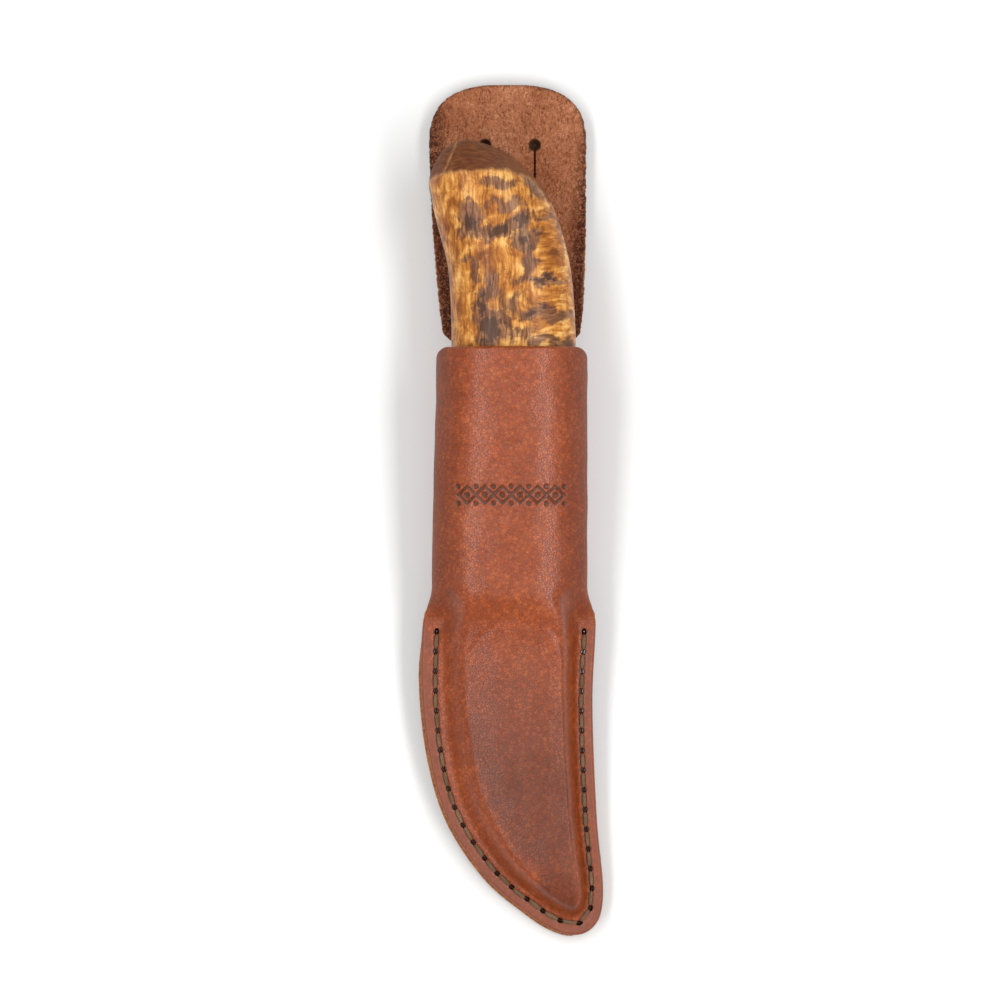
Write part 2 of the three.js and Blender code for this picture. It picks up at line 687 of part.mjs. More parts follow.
function part(name, body, color, roughness, metalness = 0) {
  const material = new THREE.MeshStandardMaterial({ color, roughness, metalness });
  const mesh = new THREE.Mesh(geometryOf(body), material);
  mesh.name = name;
  return mesh;
}

const sheath = new THREE.Group();
const onTop = FLANGE_HIGH + GAP + THREAD_R;
const inGroove = THREAD_SUNK;
sheath.add(
  part("front_panel", frontPanel(), LEATHER_COLOUR, 0.5),
  part("back_panel", backPanel(), SUEDE_COLOUR, 0.9),
  part("blade_liner", bladeLiner(), PLASTIC_COLOUR, 0.5),
  part("seam_thread_front", stitchedThread(SEAM_HOLES, onTop, onTop - 1.4), THREAD_COLOUR, 0.8),
  part("seam_thread_back", stitchedThread(SEAM_HOLES, inGroove, inGroove + 1.3), THREAD_COLOUR, 0.8),
);
for (const [side, holes] of [["left", LEFT_WING_HOLES], ["right", RIGHT_WING_HOLES]]) {
  const sunk = BACK_TOP_Z - inGroove;
  sheath.add(
    part(`${side}_wing_thread_outer`, stitchedThread(holes, inGroove, inGroove + 1.3), THREAD_COLOUR, 0.8),
    part(`${side}_wing_thread_inner`, stitchedThread(holes, sunk, sunk - 1.2), THREAD_COLOUR, 0.8),
  );
}

const knife = new THREE.Group();
knife.position.set(0, KNIFE_Y, KNIFE_Z);
knife.rotation.x = LEAN;
knife.add(
  part("handle", handle(), WOOD_COLOUR, 0.3),
  part("blade", blade(), STEEL_COLOUR, 0.35, 1),
  part("tang_epoxy", tangEpoxy(), EPOXY_COLOUR, 0.4),
);

const wholeObject = new THREE.Group();
wholeObject.add(sheath, knife);

export default wholeObject;
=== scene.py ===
"""The looks of a whittling knife in its moulded leather sheath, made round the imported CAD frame.

Shapes are worked out in millimetres, in the frame's own axes, and turned into metres when a mesh is made:
+X is the side of the blade's back, +Y runs from the sheath's tip to its belt flap, +Z goes up from the floor.
"""

import json
import math

import bpy
import numpy as np
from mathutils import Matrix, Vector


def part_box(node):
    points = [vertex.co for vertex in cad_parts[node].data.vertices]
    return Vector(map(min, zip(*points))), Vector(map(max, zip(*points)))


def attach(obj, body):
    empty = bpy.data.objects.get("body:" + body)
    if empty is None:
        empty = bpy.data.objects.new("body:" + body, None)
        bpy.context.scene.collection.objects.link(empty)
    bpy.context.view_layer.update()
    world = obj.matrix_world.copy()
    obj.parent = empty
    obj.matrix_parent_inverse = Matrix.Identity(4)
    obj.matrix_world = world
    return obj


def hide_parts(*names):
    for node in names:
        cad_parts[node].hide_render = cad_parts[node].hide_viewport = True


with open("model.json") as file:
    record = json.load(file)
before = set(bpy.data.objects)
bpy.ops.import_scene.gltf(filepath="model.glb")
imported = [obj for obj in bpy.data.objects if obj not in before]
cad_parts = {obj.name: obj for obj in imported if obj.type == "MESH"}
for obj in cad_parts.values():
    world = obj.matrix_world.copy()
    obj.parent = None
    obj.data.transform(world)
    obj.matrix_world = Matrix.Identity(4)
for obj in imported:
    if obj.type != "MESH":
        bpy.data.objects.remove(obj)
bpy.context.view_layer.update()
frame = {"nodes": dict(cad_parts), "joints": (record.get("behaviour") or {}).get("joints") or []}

MM = 0.001

# ---- Sizes from the frame ----


def box_mm(node):
    low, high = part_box(node)
    return np.array(low) / MM, np.array(high) / MM


DRAW_AXIS = frame["joints"][0]["axis"]
LEAN = math.atan2(DRAW_AXIS[2], DRAW_AXIS[1])  # the knife's axis rises by this angle towards the butt
MOUTH_Y = box_mm("front_panel")[1][1]
FLAP_TOP_Y = box_mm("back_panel")[1][1]

# ---- Driving dimensions, in millimetres, as in the CAD source ----

FRONT_LEATHER = 2.5
BACK_LEATHER = 2.3
FLANGE_LEATHER = 2.4
STRIP_GAP = 0.55
TIP_REST_Y = -104
TUBE_LEFT_X = -18.85
TUBE_RIGHT_X = 18.75
TUBE_SPREAD = 1.1
TUBE_POWER = 2.45
TUBE_WAIST = 0.54
TUBE_PRESSED = 0.8
BUTT_ANGLE = 179.5
FLANGE_ANGLE = 94
WING_CUT_Y = (-9, -19)
SHOULDER_Y = (-18, -28)
RIB_Y = -30  # below here, stations run from edge to edge and turn with the outline
FLANGE_HIGH = 5.1
RIDGE_X = 9
RIDGE_FALL = 0.07
FLANGE_LEFT = 3.8
FLANGE_RIGHT = 3.65
STRIP_ANGLE = 62
STRIP_EDGE = 0.9
STRIP_WIDE_Y = (-18.5, -26)
STRIP_RISE_Y = (-21, -33)
FLAP_FLAT_Y = 78
FLAP_FLARE = 4
FLAP_MIDDLES = (-0.1, -1.1)  # the x of the flap's middle at the mouth and at its top
FLAP_CORNER_Y = 91
FLAP_CORNER_POWER = 2.7
SLIT_X = (-6.7, 5.7)
SLIT_Y = (46, 91.2)
SLIT_WIDTH = 0.5
SLIT_HOLE_R = 1.45
SLIT_HOLE_LOW_R = 0.3  # the punched holes and the slits draw in towards the underside
SLIT_LOW_HALF = 0.05
SEAM_STITCHES = 33
SEAM_START_Y = -29.8
SEAM_INSET = 2.85
SEAM_INSET_MORE = 0.8
SEAM_INSET_Y = (-75, -35)
WING_SEAM_X = 3.5
WING_SEAM_Y = (-5, 35)
WING_STITCH = 5
GROOVE_WIDE = 1.3
GROOVE_DEEP = 0.9
KNIFE_Y = -20
KNIFE_Z = 13.5
GAP = 0.3
HANDLE_LENGTH = 112.4
HANDLE_POWER = 2.2
BORE_LENGTH = 88
BORE = (13, 7.2)
BORE_END = (8, 5.2)
BLADE_LENGTH = 75
BLADE_THICK = 3
BLADE_EDGE = 0.15
TIP_LENGTH = 6  # the blade's sections are closer together this far from its tip
BEVEL_SHARE = 0.42
TANG_LENGTH = 82
TANG = (10, 3)
TANG_END = (5, 2.2)

# ---- Sizes that follow ----

STRIP_UNDER_Z = FRONT_LEATHER + STRIP_GAP
STRIP_TOP_Z = STRIP_UNDER_Z + BACK_LEATHER

# ---- Small helpers ----


def mix(a, b, t):
    """a at t = 0, b at t = 1."""
    return a + (b - a) * t


def ease(start, end, value):
    """0 at start, 1 at end, level at both."""
    t = np.clip((np.asarray(value, float) - start) / (end - start), 0, 1)
    return t * t * (3 - 2 * t)


def signed_power(value, power):
    return np.sign(value) * np.abs(value) ** power


def hermite(start, end, slope_start, slope_end, t):
    """A cubic from start to end with the given slopes, at t from 0 to 1."""
    t2, t3 = t * t, t * t * t
    return ((2 * t3 - 3 * t2 + 1) * start + (t3 - 2 * t2 + t) * slope_start
            + (3 * t2 - 2 * t3) * end + (t3 - t2) * slope_end)


def through(pairs):
    """A smooth function through (at, value) pairs, in order of at."""
    at, value = np.array(pairs, float).T
    index = np.arange(len(at))
    before = np.maximum(index - 1, 0)
    after = np.minimum(index + 1, len(at) - 1)
    slope = (value[after] - value[before]) / (at[after] - at[before])

    def smooth(x):
        x = np.clip(x, at[0], at[-1])
        i = np.clip(np.searchsorted(at, x, side="right") - 1, 0, len(at) - 2)
        span = at[i + 1] - at[i]
        return hermite(value[i], value[i + 1], span * slope[i], span * slope[i + 1], (x - at[i]) / span)

    return smooth


def smooth_line(points, steps=24):
    """A centripetal Catmull-Rom line through points."""
    p = np.array(points, float)
    padded = [2 * p[0] - p[1], *p, 2 * p[-1] - p[-2]]
    t = np.linspace(0, 1, steps, endpoint=False)[:, None]
    line = []
    for a, b, c, d in zip(padded, padded[1:], padded[2:], padded[3:]):
        t0, t1, t2 = (math.sqrt(np.linalg.norm(q - r)) for q, r in ((b, a), (c, b), (d, c)))
        leaves = ((b - a) / t0 - (c - a) / (t0 + t1) + (c - b) / t1) * t1
        arrives = ((c - b) / t1 - (d - b) / (t1 + t2) + (d - c) / t2) * t1
        line.append(hermite(b, c, leaves, arrives, t))
    return np.vstack([*line, p[-1:]])


def lengths_along(line):
    """The length of a line up to each of its points."""
    steps = np.linalg.norm(np.diff(line, axis=0), axis=1)
    return np.concatenate([[0], np.cumsum(steps)])


def resampled(line, at, along=None):
    """The points of a line at the given lengths from its start."""
    along = lengths_along(line) if along is None else along
    return np.column_stack([np.interp(at, along, line[:, k]) for k in range(line.shape[1])])


def crossings(outline, y):
    """The lowest and highest x where an outline crosses the line at y."""
    a, b = outline[:-1], outline[1:]
    hit = ((a[:, 1] - y) * (b[:, 1] - y) <= 0) & (a[:, 1] != b[:, 1])
    a, b = a[hit], b[hit]
    x = mix(a[:, 0], b[:, 0], (y - a[:, 1]) / (b[:, 1] - a[:, 1]))
    return x.min(), x.max()


def distance_to(line, x, y, block=4000):
    """How far points are from a line in plan."""
    flat_x, flat_y = np.ravel(x), np.ravel(y)
    a, step = line[:-1], np.diff(line, axis=0)
    size = np.maximum((step ** 2).sum(1), 1e-12)
    found = np.empty(len(flat_x))
    for i in range(0, len(flat_x), block):
        dx = flat_x[i:i + block, None] - a[:, 0]
        dy = flat_y[i:i + block, None] - a[:, 1]
        t = np.clip((dx * step[:, 0] + dy * step[:, 1]) / size, 0, 1)
        away = (dx - t * step[:, 0]) ** 2 + (dy - t * step[:, 1]) ** 2
        found[i:i + block] = np.sqrt(away.min(1))
    return found.reshape(np.shape(x))


def rounding(distance, radius):
    """How far an edge rounded to a radius lies below the flat, at a distance in from the edge."""
    short = radius - np.clip(distance, 0, radius)
    return radius - np.sqrt(np.maximum(0, radius ** 2 - short ** 2))


def waves(x, y, seed, scale, count=9):
    """A smooth random height, about -1 to 1, that repeats each time; scale is in millimetres."""
    rng = np.random.default_rng(seed)
    total = np.zeros(np.broadcast(x, y).shape)
    for _ in range(count):
        turn, phase = rng.uniform(0, 2 * math.pi, 2)
        length = scale * rng.uniform(0.6, 1.7)
        total = total + np.sin((x * math.cos(turn) + y * math.sin(turn)) * 2 * math.pi / length + phase)
    return total / math.sqrt(count)


# ---- The sheath's outline and seam, as in the CAD source ----

LOWER_OUTLINE = smooth_line([
    (18.9, -12), (19.4, -19), (20.75, -25), (20.1, -48), (21.2, -77), (22.75, -97),
    (21.4, -102.9), (18.3, -105.7), (14.5, -106.2), (9.2, -104.4), (2.75, -100),
    (-6, -92.5), (-16, -77.5), (-21, -60), (-22.75, -40), (-21.9, -25), (-20.6, -18.5), (-19.9, -12),
])
# The right edge turns into the left one where the outline has passed its lower right corner.
TURN = int(np.argmax((LOWER_OUTLINE[:, 1] < -104.5) & (LOWER_OUTLINE[:, 0] < 20)))
RIGHT_EDGE = LOWER_OUTLINE[:TURN + 1]
LEFT_EDGE = LOWER_OUTLINE[TURN:]
LOWEST = int(np.argmin(LOWER_OUTLINE[:, 1]))


def seat_z(y):
    """The underside of the blade's part of the sheath."""
    return np.maximum(0, (y - TIP_REST_Y) * math.tan(LEAN))


def seam_line():
    """The seam follows the edge at a small distance, from the left shoulder round the tip to the right."""
    line = LOWER_OUTLINE[::-1]
    step = line[2:] - line[:-2]
    step = step / np.linalg.norm(step, axis=1)[:, None]
    x, y = line[1:-1].T
    inset = SEAM_INSET + np.where(x < 0, SEAM_INSET_MORE * ease(*SEAM_INSET_Y, y), 0)
    seam = np.column_stack([x - step[:, 1] * inset, y + step[:, 0] * inset])
    # The line runs up the right side, so its left is the outline's inside.
    return seam[seam[:, 1] < SEAM_START_Y]


def paced(line, steps):
    """Points at an even pitch along a line, and the line's direction at each."""
    along = lengths_along(line)
    at = np.linspace(0, along[-1], steps + 1)
    near = along[-1] * 1e-3
    ahead = resampled(line, np.minimum(at + near, along[-1]), along)
    behind = resampled(line, np.maximum(at - near, 0), along)
    way = (ahead - behind) / np.linalg.norm(ahead - behind, axis=1)[:, None]
    return resampled(line, at, along), way


SEAM_LINE = seam_line()
SEAM_HOLES = paced(SEAM_LINE, SEAM_STITCHES)


def wing_holes(x):
    steps = round((WING_SEAM_Y[1] - WING_SEAM_Y[0]) / WING_STITCH)
    return paced(np.array([(x, WING_SEAM_Y[0]), (x, WING_SEAM_Y[1])], float), steps)


WING_HOLES = {"left": wing_holes(-WING_SEAM_X), "right": wing_holes(WING_SEAM_X)}

# ---- The knife's own sizes, from the handle's front end along its axis ----

HANDLE_OUTLINE = smooth_line([
    (13.6, 0), (15.2, 20), (15.8, 45), (15.9, 61), (15.6, 69), (14.85, 78.5), (13.4, 86), (11, 93.6),
    (8, 99.8), (2.7, 106.1), (-2.75, 109.9), (-8.25, 111.9), (-12, HANDLE_LENGTH), (-16.3, 110.5),
    (-19.2, 106.6), (-20.7, 102), (-19.7, 96), (-18.4, 90.6), (-16.2, 82), (-15.3, 72),
    (-15.1, 61), (-15, 45), (-14.3, 20), (-13, 0),
])
handle_half = through([(0, 7.8), (20, 9.3), (40, 10.6), (61, 11.2), (80, 11.3), (102, 12)])
blade_back = through([(-BLADE_LENGTH, 11.2), (-50, 9.9), (-20, 9.1), (0, 9)])
blade_edge = through([
    (-BLADE_LENGTH, 11), (-73.4, 8.8), (-69, 4.8), (-62, -0.3), (-53, -4.9), (-42, -8.2),
    (-26, -9.9), (0, -10.4),
])
blade_thickness = through([(-BLADE_LENGTH, 0.7), (-60, 2.4), (-30, BLADE_THICK), (0, BLADE_THICK)])


def knife_axis_z(y):
    return KNIFE_Z + (y - KNIFE_Y) * math.tan(LEAN)


def placed_knife(points):
    """From the knife's own frame to the part's."""
    x, y, z = np.asarray(points, float).T
    return np.column_stack([
        x,
        KNIFE_Y + y * math.cos(LEAN) - z * math.sin(LEAN),
        KNIFE_Z + y * math.sin(LEAN) + z * math.cos(LEAN),
    ])


# ---- The sheath's surfaces ----


def tube_row(y, degrees):
    """Points [x, z] of the tube's outer face at y, by angle from its top."""
    left = TUBE_LEFT_X - TUBE_SPREAD * (MOUTH_Y - y) / (MOUTH_Y - WING_CUT_Y[1])
    middle, half = (left + TUBE_RIGHT_X) / 2, (TUBE_RIGHT_X - left) / 2
    top = knife_axis_z(y) + handle_half((y - KNIFE_Y) / math.cos(LEAN)) + GAP + FRONT_LEATHER
    waist = top * TUBE_WAIST
    angle = np.radians(degrees)
    rise = np.where(np.cos(angle) > 0, top - waist, waist + TUBE_PRESSED)
    x = middle + half * signed_power(np.sin(angle), 2 / TUBE_POWER)
    z = waist + rise * signed_power(np.cos(angle), 2 / TUBE_POWER)
    return np.column_stack([x, np.maximum(0, z)])


ridge_z = through([
    (-103, 9.9), (-96, 12.9), (-80, 14.7), (-60, 16.4), (-42, 18.1), (-32, 20.1),
    (-20, float(tube_row(-20, 0)[0, 1])),
])
left_rise = through([(-98, 3.6), (-85, 5.5), (-60, 7), (-30, 7), (-20, 7)])
right_rise = through([(-100, 2.5), (-80, 3.3), (-60, 3.7), (-45, 4.1), (-30, 5.2), (-20, 7)])


def rise(distance, width):
    """From 0 to 1 over about a width, steep at the start and rounded over at the top."""
    return sum(ease(0, 0.8 * width, distance - k * width / 10) for k in range(4)) / 4


# The dome's top falls off gently towards its walls: by how much, and over how wide a strip.
SHOULDER_LEFT = (1.5, 15)
SHOULDER_RIGHT = (0.7, 9)


def dome_z(x, y, sunk=0.0, shy=0.0):
    """The front panel's outer face below the tube, or a face that lies sunk under it and starts later."""
    from_left = distance_to(LEFT_EDGE, x, y) - FLANGE_LEFT
    from_right = distance_to(RIGHT_EDGE, x, y) - FLANGE_RIGHT
    left = rise(from_left - shy, left_rise(y) - shy / 3)
    right = rise(from_right - shy, right_rise(y) - shy / 3)
    flange = seat_z(y) + FLANGE_HIGH - sunk
    fall = RIDGE_FALL * np.maximum(0, RIDGE_X - x)
    if sunk == 0:
        for distance, (drop, wide) in ((from_left, SHOULDER_LEFT), (from_right, SHOULDER_RIGHT)):
            fall = fall + drop * (1 - ease(0, wide, distance))
    return flange + (ridge_z(y) - sunk - fall - flange) * left * right


def offset_row(row, thickness):
    """A row of [x, z] points moved to its right by a thickness."""
    step = np.gradient(row, axis=0)
    step = step / np.linalg.norm(step, axis=1)[:, None]
    return row + np.column_stack([step[:, 1], -step[:, 0]]) * np.reshape(thickness, (-1, 1))


# ---- Meshes ----


def linked(name, data):
    """A new object in the scene."""
    made = bpy.data.objects.new(name, data)
    bpy.context.scene.collection.objects.link(made)
    return made


def new_piece(name, points, faces, finishes, face_finish=None, sharp=40):
    """A mesh object from points in millimetres. face_finish numbers each face's finish, or all of them."""
    mesh = bpy.data.meshes.new(name)
    faces = faces.tolist() if isinstance(faces, np.ndarray) else faces
    mesh.from_pydata((np.asarray(points) * MM).tolist(), [], faces)
    for finish in finishes:
        mesh.materials.append(finish)
    if face_finish is not None:
        mesh.polygons.foreach_set("material_index", np.full(len(faces), face_finish, np.int32))
    mesh.update()
    piece = linked(name, mesh)
    shade(piece, sharp)
    return piece


def shade(piece, sharp=40):
    """Smooth shading, apart from edges sharper than an angle in degrees."""
    piece.data.shade_smooth()
    piece.data.set_sharp_from_angle(angle=math.radians(sharp))


def outward(points, quads):
    """Quads, turned so that they point out of the solid."""
    a, b, c, d = (points[quads[:, k]] for k in range(4))
    volume = (a * np.cross(b, c)).sum() + (a * np.cross(c, d)).sum()
    return quads if volume > 0 else quads[:, ::-1]


def grid_faces(rows, columns, closed=False):
    """Quads over a grid of points; closed joins the last column to the first."""
    i = np.arange(rows - 1)[:, None]
    j = np.arange(columns if closed else columns - 1)[None, :]
    after = (j + 1) % columns
    a, b = i * columns + j, i * columns + after
    return np.stack([a, b, b + columns, a + columns], axis=-1).reshape(-1, 4)


def tube_faces(points, rows, columns, start=0):
    """The faces of a closed tube over rows of points, with its two flat ends, numbered from start."""
    around = outward(points, grid_faces(rows, columns, closed=True))
    ends = [list(range(columns)), list(range((rows - 1) * columns, rows * columns))]
    forward = around[0][0] == 0 and around[0][1] == 1
    ends[0 if forward else 1].reverse()
    return [[i + start for i in face] for face in around.tolist() + ends]


def thick_sheet(name, top, under, finishes):
    """A closed sheet between two grids of points, with finishes for its top, its underside and its edge."""
    rows, columns = top.shape[:2]
    count = rows * columns
    grid = grid_faces(rows, columns)
    edge = np.concatenate([
        np.arange(columns),
        np.arange(1, rows) * columns + columns - 1,
        (rows - 1) * columns + np.arange(columns - 2, -1, -1),
        np.arange(rows - 2, 0, -1) * columns,
    ])
    size = len(edge)
    flat_top, flat_under = top.reshape(-1, 3), under.reshape(-1, 3)
    middle = (flat_top[edge] + flat_under[edge]) / 2
    points = np.vstack([flat_top, flat_under, middle])
    here, after = np.arange(size), (np.arange(size) + 1) % size
    centre = 2 * count
    upper = np.column_stack([edge[after], edge[here], centre + here, centre + after])
    lower = np.column_stack([centre + after, centre + here, edge[here] + count, edge[after] + count])
    faces = np.vstack([grid, grid[:, ::-1] + count, upper, lower])
    which = np.repeat([0, 1, 2], [len(grid), len(grid), 2 * size])
    return new_piece(name, points, outward(points, faces), finishes, which)


def loft(name, loops, finishes, face_finish=None, sharp=40):
    """A solid through closed loops of as many points, with flat ends."""
    loops = np.asarray(loops, float)
    points = loops.reshape(-1, 3)
    return new_piece(name, points, tube_faces(points, *loops.shape[:2]), finishes, face_finish, sharp)


def cut(piece, cutters, operation="DIFFERENCE"):
    """Cuts solids out of a piece, one after the other, and removes them."""
    for cutter in cutters:
        modifier = piece.modifiers.new("cut", "BOOLEAN")
        modifier.operation = operation
        modifier.solver = "MANIFOLD"
        modifier.object = cutter
        bpy.context.view_layer.update()
        graph = bpy.context.evaluated_depsgraph_get()
        mesh = bpy.data.meshes.new_from_object(piece.evaluated_get(graph))
        piece.modifiers.clear()
        old = piece.data
        piece.data = mesh
        mesh.name = piece.name
        bpy.data.meshes.remove(old)
        used = cutter.data
        bpy.data.objects.remove(cutter)
        bpy.data.meshes.remove(used)
    shade(piece)


def corners_of(piece):
    """A piece's points, in millimetres."""
    found = np.empty(len(piece.data.vertices) * 3, np.float32)
    piece.data.vertices.foreach_get("co", found)
    return found.reshape(-1, 3).astype(float) / MM


def mark(piece, name, values):
    """Stores a number at each point, for the finishes to read."""
    layer = piece.data.attributes.new(name, "FLOAT", "POINT")
    layer.data.foreach_set("value", np.asarray(values, np.float32))


# ---- Finishes ----

PEBBLE_SIZE = 0.62
PORE_SIZE = 1.25


class Finish:
    """A material's node tree, with a short call for each kind of node. Lengths are in millimetres."""

    def __init__(self, name):
        self.material = bpy.data.materials.new(name)
        self.material.use_nodes = True
        self.tree = self.material.node_tree
        self.place = None

    def feed(self, socket, value):
        """Links a socket to another one, or sets it. A colour is given without its alpha."""
        if isinstance(value, bpy.types.NodeSocket):
            self.tree.links.new(value, socket)
        elif isinstance(value, tuple) and len(socket.default_value) == 4:
            socket.default_value = (*value, 1)
        else:
            socket.default_value = value

    def node(self, kind, inputs=(), **settings):
        """A new node, with its settings made and its inputs fed."""
        made = self.tree.nodes.new("ShaderNode" + kind)
        for key, value in settings.items():
            setattr(made, key, value)
        for key, value in dict(inputs).items():
            self.feed(made.inputs[key], value)
        return made

    def where(self, stretch=(1, 1, 1), turn=(0, 0, 0)):
        """The point in millimetres, stretched and turned."""
        if self.place is None:
            self.place = self.node("TexCoord").outputs["Object"]
        inputs = {"Vector": self.place, "Scale": [s / MM for s in stretch], "Rotation": turn}
        return self.node("Mapping", inputs).outputs["Vector"]

    def noise(self, size, detail=3, rough=0.55, stretch=(1, 1, 1), turn=(0, 0, 0), warp=0.0, at=None):
        """A noise whose patches are about size across."""
        at = self.where(stretch, turn) if at is None else at
        inputs = {"Vector": at, "Scale": 1 / size, "Detail": detail, "Roughness": rough, "Distortion": warp}
        return self.node("TexNoise", inputs).outputs["Fac"]

    def cells(self, size, feature="F1"):
        """A distance within cells about size across: from their middles, or else from their borders."""
        inputs = {"Vector": self.where(), "Scale": 1 / size}
        return self.node("TexVoronoi", inputs, feature=feature).outputs["Distance"]

    def math(self, operation, a, b=0.0):
        return self.node("Math", {0: a, 1: b}, operation=operation).outputs[0]

    def plus(self, a, b):
        return self.math("ADD", a, b)

    def times(self, a, b):
        return self.math("MULTIPLY", a, b)

    def most(self, a, b):
        return self.math("MAXIMUM", a, b)

    def less(self, a, b):
        return self.math("SUBTRACT", a, b)

    def span(self, value, low, high, out_low=0.0, out_high=1.0):
        """value from low to high, smoothly turned into out_low to out_high."""
        inputs = {"Value": value, "From Min": low, "From Max": high, "To Min": out_low, "To Max": out_high}
        return self.node("MapRange", inputs, interpolation_type="SMOOTHSTEP").outputs["Result"]

    def ramp(self, value, *stops):
        """A colour from a number: stops are (at, colour)."""
        made = self.node("ValToRGB", {"Fac": value})
        while len(made.color_ramp.elements) < len(stops):
            made.color_ramp.elements.new(0.5)
        for element, (at, colour) in zip(made.color_ramp.elements, stops):
            element.position = at
            element.color = (*colour, 1)
        return made.outputs["Color"]

    def blend(self, share, a, b, how="MIX"):
        """Colour a turned into colour b by a share."""
        return self.node("Mix", {"Factor": share, 6: a, 7: b}, data_type="RGBA", blend_type=how).outputs[2]

    def marked(self, name):
        """The number that a piece's mesh stores at its points under a name."""
        return self.node("Attribute", attribute_name=name).outputs["Fac"]

    def parts(self, vector):
        """The x, y and z of a vector."""
        return self.node("SeparateXYZ", {0: vector}).outputs

    def vector(self, operation, a, b):
        return self.node("VectorMath", {0: a, 1: b}, operation=operation).outputs[0]

    def shifted(self, vector, amount, size):
        """A point in millimetres, moved about by noise."""
        noise = self.node("TexNoise", {"Vector": vector, "Scale": 1 / size, "Detail": 2}).outputs["Color"]
        centred = self.vector("SUBTRACT", noise, (0.5, 0.5, 0.5))
        scaled = self.node("VectorMath", {0: centred, "Scale": 2 * amount}, operation="SCALE").outputs[0]
        return self.vector("ADD", vector, scaled)

    def bump(self, height, depth, strength=1.0, normal=None):
        """Relief whose full height is depth, on top of any relief already given."""
        inputs = {"Strength": strength, "Distance": depth * MM, "Height": height}
        if normal is not None:
            inputs["Normal"] = normal
        return self.node("Bump", inputs).outputs["Normal"]

    def done(self, colour, roughness, normal=None, **uniform):
        """The finished material. What is the same all over is set on the shader's own sockets."""
        shader = self.tree.nodes["Principled BSDF"]
        sockets = {socket.name.lower().replace(" ", "_"): socket for socket in shader.inputs}
        given = {"base_color": colour, "roughness": roughness, "normal": normal, **uniform}
        for key, value in given.items():
            if value is not None:
                self.feed(sockets[key], value)
        return self.material


def grain_leather():
    """Smooth vegetable-tanned leather: red-brown, finely pebbled, darker where it is pressed or handled."""
    f = Finish("grain_leather")
    x, y = f.parts(f.where())[:2]
    broad = f.noise(16, rough=0.5)
    cloud = f.noise(4.0, detail=4, rough=0.62)
    fine = f.noise(0.7, rough=0.6)
    pebble = f.cells(PEBBLE_SIZE)
    valley = f.cells(PEBBLE_SIZE, feature="DISTANCE_TO_EDGE")
    colour = f.ramp(
        f.plus(f.times(broad, 0.5), f.times(cloud, 0.5)),
        (0.34, (0.28, 0.045, 0.0064)),
        (0.5, (0.37, 0.063, 0.0090)),
        (0.66, (0.46, 0.091, 0.015)),
    )
    speckle = f.span(f.plus(fine, f.times(pebble, -0.35)), 0.28, 0.52)
    colour = f.blend(f.times(speckle, 0.34), colour, (0.46, 0.140, 0.038))
    # Paler pebble tops: painted glints, as well as rubbing that paled the tops.
    pale_tops_and_glints = f.times(f.span(pebble, 0.30, 0.10), f.span(cloud, 0.38, 0.62, 0.12, 0.42))
    colour = f.blend(pale_tops_and_glints, colour, (0.62, 0.27, 0.14))
    # Darker in the narrow valleys between the pebbles: painted shade.
    colour = f.blend(f.span(valley, 0.02, 0.16, 0.42, 0.0), colour, (0.15, 0.025, 0.005))
    pores = f.span(f.cells(PORE_SIZE), 0.36, 0.52)
    colour = f.blend(f.times(pores, 0.42), colour, (0.16, 0.029, 0.007))
    # Darker on the tube's sides and over the blade, though not on the dome's walls.
    edge = f.marked("edge")
    aside = f.math("ABSOLUTE", f.plus(x, 0.4))
    on_tube = f.span(y, RIB_Y - 6, RIB_Y + 10)
    darker_sides = f.times(f.span(aside, 9.5, 16.5, 0.0, 0.5), on_tube)
    inner = f.most(f.span(edge, 8, 13), f.times(f.span(x, 4, 9), f.span(edge, 5, 8)))
    lower = f.times(f.span(y, -22, -70, 0.0, 0.85), inner)
    colour = f.blend(f.most(darker_sides, lower), colour, (0.47, 0.44, 0.36), "MULTIPLY")
    # Paler outside the stitches, darker just inside them, and stained where the stamp pressed it.
    mottle = f.span(f.noise(1.3, rough=0.7), 0.35, 0.65, 0.45, 0.95)
    outside = f.times(f.span(edge, 2.0, 3.2, 0.85, 0.0), mottle)
    colour = f.blend(outside, colour, (0.205, 0.058, 0.028))
    inside = f.times(f.span(edge, 3.0, 4.2), f.span(edge, 4.6, 8.5, 0.12, 0.0))
    colour = f.blend(inside, colour, (0.20, 0.040, 0.008))
    # Painted shade in and round the stitch holes and slits, with some staining from the awl.
    hole = f.span(f.marked("hole"), 0.5, 1.05, 0.8, 0.0)
    colour = f.blend(hole, colour, (0.085, 0.025, 0.010))
    colour = f.blend(f.times(f.marked("stamp"), 0.86), colour, (0.05, 0.015, 0.007))
    # Glossiest on the tube's top, rubbed matt along its sides, and slightly duller over the blade.
    rough = f.span(f.plus(cloud, f.times(fine, 0.4)), 0.4, 0.95, 0.24, 0.33)
    matt = f.times(f.span(aside, 12.5, 17.5, 0.0, 0.34), on_tube)
    matt = f.most(matt, f.span(y, -24, -44, 0.0, 0.07))
    rough = f.most(f.plus(rough, matt), hole)
    normal = f.bump(f.span(valley, 0.0, 0.10), 0.018)
    normal = f.bump(f.times(pebble, -1.0), 0.03, 1.0, normal)
    return f.done(colour, rough, normal, specular_ior_level=0.45)


